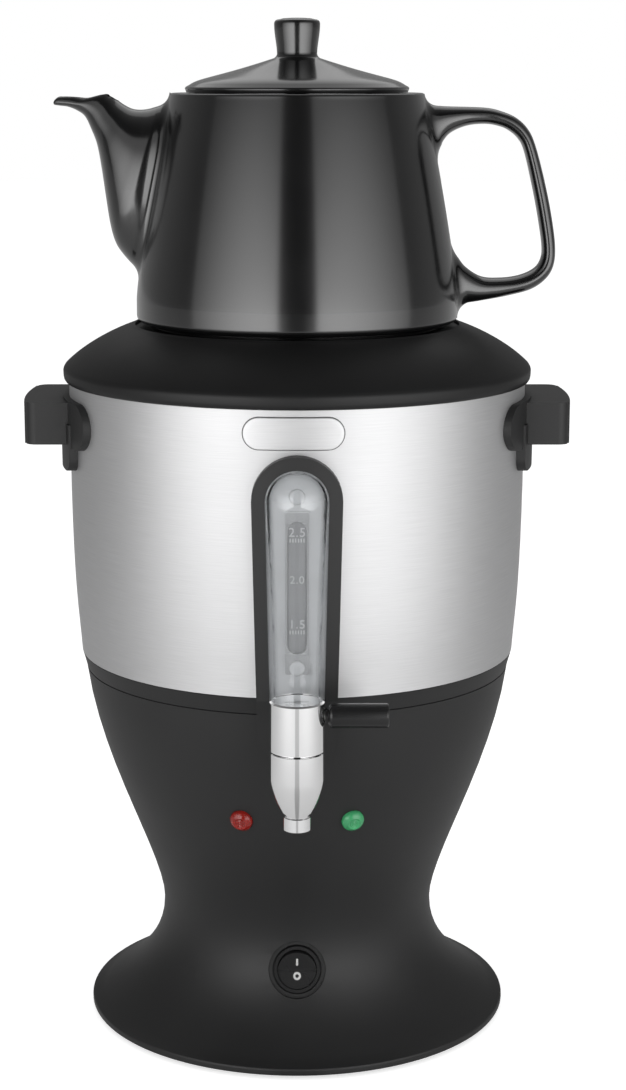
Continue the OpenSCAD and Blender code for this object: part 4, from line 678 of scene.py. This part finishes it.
def teapotBodyOutline():
    t = teapot
    foot, edge, rim = t["foot"], t["foot"] + t["footHeight"], t["foot"] + t["height"]
    r, wall, bend, curl, lip = t["footRadius"], t["wall"], t["bellyRound"], t["rimRound"], t["lipRound"]
    outer = (
        arcLine((t["bellyRadius"] - bend, edge + bend), bend, -70, 0, 8)
        + teapotSide()[1:]
        + arcLine((t["rimRadius"] - curl, rim - curl), curl, 0, 90, 8)[1:]
    )
    inner = [p for p in besideLine(outer, wall) if edge + 4 < p[1] < rim - wall]
    width, small, floor = t["footWidth"], t["footRound"], edge + t["floor"]
    return (
        [(0, edge), (r - width, edge), (r - width, foot + small), (r - width + small, foot)]
        + [(r - small, foot), (r, foot + small), (r, edge)]
        + outer
        + arcLine((t["mouthRadius"] + lip, rim - lip), lip, 90, 180, 4)
        + [(t["mouthRadius"], rim - wall), (inner[-1][0] - 2, rim - wall)]
        + inner[::-1]
        + [(t["bellyRadius"] - wall - 5, floor), (0, floor)]
    )


def ringBetween(a, b, halfWidth, sides, square):
    # a rounded ring whose middle line runs from a to b; a lower square makes it squarer
    ring = []
    for i in range(sides):
        turn = 2 * math.pi * i / sides
        u = math.copysign(abs(math.cos(turn)) ** square, math.cos(turn))
        v = math.copysign(abs(math.sin(turn)) ** square, math.sin(turn))
        x, z = ((p + q) / 2 + u * (q - p) / 2 for p, q in zip(a, b))
        ring.append(Vector((x, halfWidth * v, z)))
    return ring


def teapotRings(rows, way, sides, square):
    side = teapotSide()

    def point(reach, share):
        z = teapot["foot"] + share * teapot["height"]
        return way * (radiusAt(side, z) + reach), z

    return [
        ringBetween(point(row[0], row[1]), point(row[2], row[3]), row[4], sides, square)
        for row in smoothRows(rows, teapot["steps"])
    ]


def filletRings(rings):
    # cuts the rings where they enter the teapot's wall and rounds the join off
    side = teapotSide()
    sides = len(rings[0])

    def depth(p):
        return math.hypot(p.x, p.y) - radiusAt(side, p.z)

    def onWall(p, sink=0.04):
        r = (radiusAt(side, p.z) - sink) / math.hypot(p.x, p.y)
        return Vector((p.x * r, p.y * r, p.z))

    lines = [[ring[i] for ring in rings] for i in range(sides)]
    crossings = []
    for line in lines:
        k = next(n for n in range(len(line) - 1) if depth(line[n]) <= 0 < depth(line[n + 1]))
        low, high = line[k], line[k + 1]
        for _ in range(24):
            middle = (low + high) / 2
            low, high = (middle, high) if depth(middle) <= 0 else (low, middle)
        crossings.append((k, high))
    centre = sum((p for _, p in crossings), Vector()) / sides
    steps = teapot["filletSteps"]
    fillet = [[] for _ in range(steps + 1)]
    rest = []
    for i, line in enumerate(lines):
        k, x = crossings[i]
        walked, at, n = 0.0, x, k + 1
        while walked + (line[n] - at).length < teapot["fillet"]:
            walked += (line[n] - at).length
            at = line[n]
            n += 1
        b = at + (line[n] - at).normalized() * (teapot["fillet"] - walked)
        away = x - centre
        normal = Vector((x.x, x.y, 0)).normalized()
        away = (away - normal * away.dot(normal)).normalized()
        a = onWall(x + away * teapot["fillet"])
        for j in range(steps + 1):
            t = j / steps
            fillet[j].append((1 - t) ** 2 * a + 2 * t * (1 - t) * x + t * t * b)
        rest.append((n, b))
    # from b each line goes on at an even pace until all of them are level again
    level = max(n for n, _ in rest) + 4
    joinSteps = teapot["joinSteps"]
    joins = [[] for _ in range(joinSteps)]
    for i, line in enumerate(lines):
        n, b = rest[i]
        stretch = [b] + line[n : level + 1]
        lengths = [0.0]
        for p, q in zip(stretch, stretch[1:]):
            lengths.append(lengths[-1] + (q - p).length)
        for j in range(1, joinSteps + 1):
            want = lengths[-1] * j / joinSteps
            m = next(m for m in range(1, len(lengths)) if lengths[m] >= want - 1e-9)
            span = lengths[m] - lengths[m - 1]
            t = (want - lengths[m - 1]) / span if span else 0
            joins[j - 1].append(stretch[m - 1].lerp(stretch[m], t))
    return fillet + joins + rings[level + 1 :]


def loftMesh(name, rings):
    shell = bmesh.new()
    rows = [[shell.verts.new(p * mm) for p in ring] for ring in rings]
    bridge(shell, rows)
    shell.faces.new(rows[0][::-1])
    shell.faces.new(rows[-1])
    return shellPiece(name, shell)


def cutAway(piece, *tools):
    # exact boolean cuts, baked into the mesh; the tools are dropped
    for tool in tools:
        step = piece.modifiers.new("cut", "BOOLEAN")
        step.operation = "DIFFERENCE"
        step.solver = "EXACT"
        step.object = tool
    mesh, old = finalMesh(piece), piece.data
    piece.modifiers.clear()
    piece.data = mesh
    bpy.data.meshes.remove(old)
    for tool in tools:
        drop(tool)


def pointCloud(name, points):
    mesh = bpy.data.meshes.new(name)
    mesh.from_pydata([tuple(v * mm for v in p) for p in points], [], [])
    return placed(name, mesh)


def joined(name, pieces, finish, crease=34):
    # several bodies as one object, shaded smooth except across creases
    shell = bmesh.new()
    for piece in pieces:
        shell.from_mesh(piece.data)
        drop(piece)
    for face in shell.faces:
        face.smooth = True
        face.material_index = 0
    mesh = bpy.data.meshes.new(name)
    shell.to_mesh(mesh)
    shell.free()
    mesh.materials.append(finish)
    mesh.set_sharp_from_angle(angle=math.radians(crease))
    return placed(name, mesh)


def strainerHoles():
    # rows of holes behind the spout, staggered by half a pitch
    t = teapot
    pitch, middle = t["holeRadius"] * t["holePitch"], t["foot"] + t["height"] * t["holeHeight"]
    holes = []
    for row in range(-2, 3):
        for i in range(-2, 3):
            y = (i + (abs(row) % 2) / 2) * pitch
            if abs(y) < 2.2 * pitch:
                holes.append((-t["bellyRadius"] + t["holeDepth"], y, middle + row * pitch * 0.87))
    return holes


def makeTeapot():
    t = teapot
    glaze = material["ceramic"]
    body = turned("teapotWall", teapotBodyOutline(), glaze, Segments=224)
    drills = runTree(
        pointCloud("strainerPoints", strainerHoles()), drillTree, "strainerDrills",
        Radius=t["holeRadius"] * mm, Length=t["drill"] * mm, Finish=glaze,
    )
    cutAway(body, drills)
    low = t["foot"] + t["footHeight"] + t["floor"] + 1
    side = [(r - t["wall"] + 0.4, z) for r, z in teapotSide()]
    hollow = turned(
        "teapotHollow", [(0, low), (t["bellyRadius"] - t["wall"] - 5, low)] + side + [(0, side[-1][1])],
        glaze, Segments=96,
    )
    square = t["spoutSquare"]
    spout = loftMesh("teapotSpout", filletRings(teapotRings(spoutRows, -1, t["spoutSides"], square)))
    channel = loftMesh("spoutChannel", teapotRings(channelRows, -1, t["channelSides"], square))
    spareHollow = placed("spareHollow", hollow.data.copy())
    cutAway(spout, channel, hollow)
    rings = teapotRings(handleRows, 1, t["handleSides"], t["handleSquare"])
    half = len(rings) // 2
    upper = filletRings(rings[: half + 1])
    lower = filletRings(rings[half:][::-1])
    handle = loftMesh("teapotHandle", upper + lower[::-1][1:])
    cutAway(handle, spareHollow)
    whole = joined("teapotBody", [body, spout, handle], glaze)
    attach(whole, "pot")
    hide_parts("teapot")


makeTeapot()
print("teapot made")


# teapot lid, in mm
teapotLid = {
    "seat": 431.3, "radius": 50.4, "edgeHeight": 2.2, "coneHeight": 13.0, "skirt": 9.0, "wall": 3.6,
    "knobRadius": 10.3, "neckRadius": 9.0, "knobHeight": 17.49,
}


def makeTeapotLid():
    t = teapotLid
    seat, r, cone = t["seat"], t["radius"], t["seat"] + t["edgeHeight"] + t["coneHeight"]
    top, neck, knob = cone + t["knobHeight"], t["neckRadius"], t["knobRadius"]
    edge = seat + t["edgeHeight"]
    outer = (
        [(r - 0.6, seat)]
        + arcLine((r - 1, edge - 0.6), 1, 0, 60, 6)
        + bezierLine(
            (r - 2.2, edge + 1.2), (r - 6.4, edge + 4.2), (r - 14, edge + 4.4), (neck + 2.6, cone - 0.6), 40
        )
    )
    skirt = teapot["mouthRadius"] - 1
    under = [p for p in besideLine(outer, t["wall"]) if p[1] > edge - 0.4 and p[0] < skirt - 4.4]
    outline = (
        outer
        + [(neck + 1.3, cone - 0.2), (neck + 0.6, cone + 0.4), (neck + 0.2, cone + 1)]
        + bezierLine((neck, cone + 1.6), (neck + 0.1, cone + 6), (knob - 0.1, top - 8), (knob, top - 3), 16)
        + arcLine((knob - 1.8, top - 2.6), 1.8, 0, 78, 8)
        + [(knob - 2.6, top - 0.62), (knob - 4, top - 0.3), (knob - 7, top - 0.08), (0, top)]
        + [(0, cone - t["wall"] - 1)]
        + under[::-1]
        + [
            (skirt - 4, seat + 1.2), (skirt - 3.6, seat - t["skirt"]), (skirt - 0.4, seat - t["skirt"]),
            (skirt, seat - t["skirt"] + 0.6), (skirt, seat),
        ]
    )
    piece = turned("teapotLid", outline, material["ceramic"], Segments=160)
    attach(piece, "pot_lid")
    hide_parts("teapot_lid")


makeTeapotLid()
print("teapot lid made")


# tank lid, in mm
tankLid = {
    "rimRadius": 107.19, "rimHeight": 7.8, "rim": 302.4, "top": 327.8, "tankTop": 307.8, "tankRadius": 104.6,
    "wall": 2.4, "recessRadius": 74.0, "recess": 326.2, "steamRadius": 42.0, "collar": 7.0, "bead": 2.0,
    "gap": 0.3, "seal": 1.2,
}


def makeTankLid():
    t = tankLid
    rim, r, rimTop, top = t["rim"], t["rimRadius"], t["rim"] + t["rimHeight"], t["top"]
    hollow = t["recessRadius"]
    run = r - hollow - 1.6
    outer = (
        [(r - 1.6, rim), (r - 0.9, rim + 0.35), (r - 0.35, rim + 1.2), (r - 0.1, rim + 2.4)]
        + arcLine((r - 3.2, rim + 4.6), 3.2, 0, 38, 8)
        + bezierLine(
            (r - 0.9, rim + 7.0), (r - 0.22 * run, rimTop + 5.4), (r - 0.58 * run, rimTop + 12.6),
            (hollow + 1.6, top - 0.5), 36,
        )
        + [(hollow + 1.1, top - 0.12), (hollow + 0.6, top), (hollow + 0.15, top - 0.12)]
    )
    recess, steam, gap = t["recess"], t["steamRadius"], t["gap"]
    shelf = t["tankTop"] + gap + t["seal"]
    collar = t["tankRadius"] - t["bead"] - gap
    low = t["tankTop"] - t["collar"]
    under = [p for p in besideLine(outer[13:50], t["wall"]) if p[1] > shelf + 0.4 and p[0] > hollow]
    inner = t["tankRadius"] + gap
    outline = (
        outer
        + [
            (hollow, top - 0.4), (hollow, recess), (steam + 0.5, recess), (steam, recess - 0.5),
            (steam, recess - 6), (steam + 2, recess - 6), (steam + 2, recess - 2.6),
            (hollow - 2, recess - 2.6),
        ]
        + under[::-1]
        + [
            (collar - 2, shelf + 0.4), (collar - 2, low), (collar - 0.5, low), (collar, low + 1),
            (collar, shelf), (inner, shelf), (inner, rim + 0.6), (inner + 0.5, rim),
        ]
    )
    # the dome takes the darker copy of the black plastic, which paints its shade
    piece = turned("tankLidDome", outline, shadedDomeBlack, Segments=224)
    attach(piece, "tank_lid")
    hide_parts("tank_lid")


# a darker copy of the black plastic for the tank lid: painted shade, so the dome looks darker than the base
# of the same plastic
shadedDomeBlack = mouldedFinish(
    "shadedDomeBlack", grey(0.0048, 0.0002), grey(0.0066, 0.0002), 0.46, 1900.0, 0.00006, 0.36
)
makeTankLid()
print("tank lid made")


def surfaceOf(name):
    # a CAD piece's surface, for finding where it lies
    part = nodes[name]
    place = part.matrix_world
    points = [place @ v.co for v in part.data.vertices]
    return BVHTree.FromPolygons(points, [tuple(f.vertices) for f in part.data.polygons])


def frontAt(surface, x, z):
    # how far along Y a surface is met from the front; x and z in metres
    hit = surface.ray_cast(Vector((x, -1, z)), Vector((0, 1, 0)))[0]
    return hit.y


def radiusNear(surface, z, turn=0.5):
    # radius of a body of revolution, probed beside its openings; z in metres
    away = Vector((math.sin(turn), -math.cos(turn), 0))
    hit = surface.ray_cast(away * 0.5 + Vector((0, 0, z)), -away)[0]
    return math.hypot(hit.x, hit.y)


def facing(lean=0.0):
    # turns what lies flat toward the front, leaning back by an angle
    return Matrix.Rotation(math.pi / 2 + lean, 4, "X")


def wallFrame(surface, x, z):
    # axes on a body of revolution with +Z straight out of its wall
    r, low, high = (radiusNear(surface, z + rise) for rise in (0, -probe, probe))
    lean = math.atan2(high - low, 2 * probe)
    return Matrix.Rotation(math.asin(x / r), 4, "Z") @ Matrix.Translation((0, -r, z)) @ facing(lean)


def draped(piece, surface, lift):
    # lays a flat piece that faces the front onto a surface
    for v in piece.data.vertices:
        v.co.y += frontAt(surface, v.co.x, v.co.z) - lift
    return piece


probe = 3 * mm
bpy.context.view_layer.update()
tankWall = surfaceOf("tank")
housingWall = surfaceOf("base_housing")


# bare badge on the tank, in mm
badge = {
    "x": -1.5, "z": 292.4, "halfWidth": 21.7, "halfHeight": 7.1, "sink": 0.1, "thickness": 0.95,
    "middle": 6.9, "steps": 14,
}


def stadiumRing(halfWidth, halfHeight, inset, steps):
    # point i and point -1 - i mirror each other across the middle line
    r, run = halfHeight - inset, halfWidth - halfHeight
    upper = []
    for i in range(steps):
        turn = math.pi / 2 * (i + 0.5) / steps
        upper.append((run + r * math.cos(turn), r * math.sin(turn)))
    upper += [(run - run * i / steps, r) for i in range(1, steps)]
    upper += [(0, r)] + [(-x, z) for x, z in upper[::-1]]
    return upper + [(x, -z) for x, z in upper[::-1]]


def wallPlate(name, rows, finish):
    # a stadium plate on the tank's wall; rows are (inset, height above the wall)
    b = badge
    shell = bmesh.new()
    rings = []
    for inset, height in rows:
        ring = []
        for x, z in stadiumRing(b["halfWidth"], b["halfHeight"], inset, b["steps"]):
            r = radiusNear(tankWall, (b["z"] + z) * mm, 0.0) / mm + height
            place = (b["x"] + x, -math.sqrt(r * r - (b["x"] + x) ** 2), b["z"] + z)
            ring.append(shell.verts.new(Vector(place) * mm))
        rings.append(ring)
    bridge(shell, rings)
    for ring, way in ((rings[0], -1), (rings[-1], 1)):
        for i in range(len(ring) // 2 - 1):
            shell.faces.new((ring[i], ring[i + 1], ring[-2 - i], ring[-1 - i])[::way])
    return joined(name, [shellPiece(name, shell)], finish, 30)


def makeBadge():
    sink, top, middle = -badge["sink"], badge["thickness"], badge["middle"]
    edge = ((0.3, sink), (0.3, 0.6), (0.36, 0.8), (0.5, 0.92), (0.7, top), (3, top), (middle, top))
    plate = wallPlate("badgePlate", edge, badgeSteel)
    # a dark ring under the plate's edge, 0.3 mm wider than it: a painted shadow line round the badge
    edge = ((0, sink), (0, 0.3), (0.08, 0.38), (0.34, 0.38), (0.36, 0.2), (middle, 0.2))
    seat = wallPlate("badgeShadowLine", edge, shadowLineGrey)
    for piece in (plate, seat):
        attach(piece, "base")


badgeSteel = brushedFinish("badgeSteel", (0.6, 0.6, 0.605), (0.7, 0.7, 0.705), 0.52)
# dark grey for the ring round the badge, a painted shadow line
shadowLineGrey = mouldedFinish("shadowLineGrey", grey(0.06), grey(0.09), 0.6, 900.0, 0.00003)
makeBadge()
print("badge made")


# level marks in the gauge's slot and marks on the rocker, in mm
levelMarks = {
    "rows": (("2.5", 250.9, 3.9, True), ("2.0", 230.4, 3.3, False), ("1.5", 210.9, 3.7, True)),
    "pitch": 1.15, "count": 6, "barWidth": 0.55, "barHeight": 1.7, "barDrop": 3.3, "thickness": 0.16,
    "lift": 0.22, "barLift": 0.18, "fontScale": 1.42,
}
levelStrip = {
    "half": 4.9, "low": 188.9, "high": 259.6, "slotHalf": 4.0, "slotLow": 198.3, "slotHigh": 255.7,
    "gap": 0.15, "bend": 0.8, "step": 2.0, "thickness": 0.2, "lift": 0.06,
}
rockerMarks = {
    "stroke": 0.95, "barHeight": 3.5, "barRise": 4.3, "ringRadius": 1.75, "ringDrop": 2.2, "thickness": 0.14,
    "switchHeight": 38.2, "barLift": 0.02, "ringLift": 0.04,
}


def curveMesh(name, data, place):
    # a curve's body as a plain closed mesh, moved to its place
    source = placed(name, data)
    mesh = finalMesh(source)
    bpy.data.objects.remove(source)
    bpy.data.curves.remove(data)
    mesh.transform(place)
    return outward(placed(name, mesh), 0.002 * mm)


def numberMesh(words, size, x, z, thickness):
    # a plain number that faces the front, with its centre at x and z
    data = bpy.data.curves.new("number", "FONT")
    data.body = words
    data.size = size * levelMarks["fontScale"] * mm
    data.space_character = 1.1
    data.align_x = "CENTER"
    data.align_y = "CENTER"
    data.extrude = thickness * mm / 2
    data.resolution_u = 4
    return curveMesh("number", data, Matrix.Translation((x * mm, 0, z * mm)) @ facing())


def flatPlate(name, outlines, thickness):
    # a flat plate with holes that faces the front; outlines are [(x, z)] in mm
    data = bpy.data.curves.new(name, "CURVE")
    data.dimensions = "2D"
    data.fill_mode = "BOTH"
    data.extrude = thickness * mm / 2
    for outline in outlines:
        line = data.splines.new("POLY")
        line.points.add(len(outline) - 1)
        for point, (x, z) in zip(line.points, outline):
            point.co = (x * mm, z * mm, 0, 1)
        line.use_cyclic_u = True
    return curveMesh(name, data, facing())


def longOutline(halfWidth, low, high, bend):
    # an upright plate's outline, rounded at the corners, with a point at each step of its long sides
    right = arcLine((halfWidth - bend, high - bend), bend, 90, 0, 10)
    run = high - low - 2 * bend
    count = int(run / levelStrip["step"])
    right += [(halfWidth, high - bend - run * i / count) for i in range(1, count)]
    right += arcLine((halfWidth - bend, low + bend), bend, 0, -90, 10)
    left = [(-x, z) for x, z in right[::-1] if x > 0.001]
    return right + left


def makeLevelStrip():
    m = levelStrip
    half, low, high, gap = m["slotHalf"], m["slotLow"], m["slotHigh"], m["gap"]
    edge = longOutline(m["half"], m["low"], m["high"], m["bend"])
    window = longOutline(half + gap, low - gap, high + gap, half)
    slot = longOutline(half, low, high, half - 0.01)
    for name, outlines, finish in (("stripFace", [edge, window], stripGrey), ("slotFace", [slot], slotGrey)):
        plate = draped(flatPlate(name, outlines, m["thickness"]), levelBack, m["lift"] * mm)
        plate = joined(name, [plate], finish)
        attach(plate, "base")


def makeLevelMarks():
    m = levelMarks
    first = -(m["count"] - 1) / 2
    pieces = []
    for words, z, size, barred in m["rows"]:
        pieces.append(draped(numberMesh(words, size, 0, z, m["thickness"]), levelBack, m["lift"] * mm))
        if barred:
            points = [((first + i) * m["pitch"], 0, z - m["barDrop"]) for i in range(m["count"])]
            bars = runTree(
                pointCloud("levelPoints", points), barTree, "levelBars",
                Width=m["barWidth"] * mm, Height=m["barHeight"] * mm, Depth=m["thickness"] * mm,
                Finish=markPaint,
            )
            pieces.append(draped(bars, levelBack, m["barLift"] * mm))
    marks = joined("levelMarks", pieces, markPaint)
    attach(marks, "base")


def makeRockerMarks():
    m = rockerMarks
    surface = surfaceOf("switch_rocker")
    bar = runTree(
        pointCloud("rockerPoint", [(0, 0, m["switchHeight"] + m["barRise"])]), barTree, "rockerBar",
        Width=m["stroke"] * mm, Height=m["barHeight"] * mm, Depth=m["thickness"] * mm, Finish=whitePaint,
    )
    outer, stroke, half = m["ringRadius"], m["stroke"], m["thickness"] / 2
    section = [(outer, -half), (outer, half), (outer - stroke, half), (outer - stroke, -half)]
    ring = turned("rockerRing", section, whitePaint, Segments=48)
    ring.data.transform(Matrix.Translation((0, 0, (m["switchHeight"] - m["ringDrop"]) * mm)) @ facing())
    pieces = [draped(bar, surface, m["barLift"] * mm), draped(ring, surface, m["ringLift"] * mm)]
    marks = joined("rockerMarks", pieces, whitePaint)
    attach(marks, "rocker")


stripGrey = mouldedFinish("stripGrey", (0.34, 0.342, 0.345), (0.38, 0.382, 0.385), 0.5, 900.0, 0.00003)
slotGrey = mouldedFinish("slotGrey", (0.25, 0.252, 0.255), (0.28, 0.282, 0.285), 0.5, 900.0, 0.00003)
markPaint = mouldedFinish("markPaint", (0.5, 0.5, 0.505), (0.56, 0.56, 0.565), 0.6, 900.0, 0.00002)
whitePaint = mouldedFinish("whitePaint", (0.55, 0.55, 0.54), (0.62, 0.62, 0.61), 0.6, 900.0, 0.00002)
levelBack = surfaceOf("gauge_back")
makeLevelStrip()
makeLevelMarks()
makeRockerMarks()
print("marks made")


# lamp lenses and the plugs in the gauge's water holes, in mm
lens = {
    "x": 24.6, "z": 115.7, "radius": 5.1, "seat": 0.5, "edge": 1.2, "dome": 2.6, "flat": 2.7,
    "stemRadius": 4.0, "stem": 10.5, "faceDrop": 0.35, "grooves": 3, "grooveWidth": 0.44, "grooveDepth": 0.14,
}
waterPlug = {
    "heights": (192.0, 266.0), "stemRadius": 1.86, "stem": 3.2, "capRadius": 3.3, "cap": 1.1, "probeX": 2.5,
}


def lensOutline():
    t = lens
    base, top, flat = -t["seat"], -t["seat"] + t["edge"] + t["dome"], t["flat"]
    face, groove = top - t["faceDrop"], t["grooveWidth"] / 2
    front = [(0, face)]
    for n in range(t["grooves"]):
        r = flat * (n + 1) / (t["grooves"] + 1)
        front += [(r - groove, face), (r, face - t["grooveDepth"]), (r + groove, face)]
    front += [(flat, top - 0.3), (flat + 0.25, top - 0.18)]
    low, end = base + t["edge"], base - t["stem"]
    r, stem = t["radius"], t["stemRadius"]
    dome = bezierLine((flat + 0.45, top - 0.3), (flat + 1.1, top - 0.7), (r - 0.05, low + 1.1), (r, low), 12)
    return front + dome + [(r, base + 0.1), (stem, base), (stem, end), (0, end)]


def makeLamps():
    for side, name, finish in ((-1, "red", "red_lens"), (1, "green", "green_lens")):
        piece = turned(name + "Lens", lensOutline(), material[finish], Segments=72)
        piece.data.transform(wallFrame(housingWall, side * lens["x"] * mm, lens["z"] * mm))
        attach(piece, "base")
        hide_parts("lamp_" + name)


def makeWaterPlugs():
    t = waterPlug
    stem, end, r, cap = t["stemRadius"], -t["stem"], t["capRadius"], t["cap"]
    outline = (
        [(0, end), (stem - 0.2, end), (stem, end + 0.3), (stem, 0.02), (r, 0.02), (r, cap * 0.4)]
        + bezierLine((r, cap * 0.5), (r - 0.1, cap * 0.9), (r * 0.6, cap), (0, cap), 10)
    )
    pieces = []
    for z in t["heights"]:
        plug = turned("waterPlug", outline, material["grey_plastic"], Segments=48)
        low, high = (frontAt(levelBack, t["probeX"] * mm, z * mm + rise) for rise in (-probe, probe))
        lean = math.atan2(low - high, 2 * probe)
        plug.data.transform(Matrix.Translation((0, (low + high) / 2, z * mm)) @ facing(lean))
        pieces.append(plug)
    whole = joined("waterPlugs", pieces, material["grey_plastic"])
    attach(whole, "base")


makeLamps()
makeWaterPlugs()
print("lamps and plugs made")
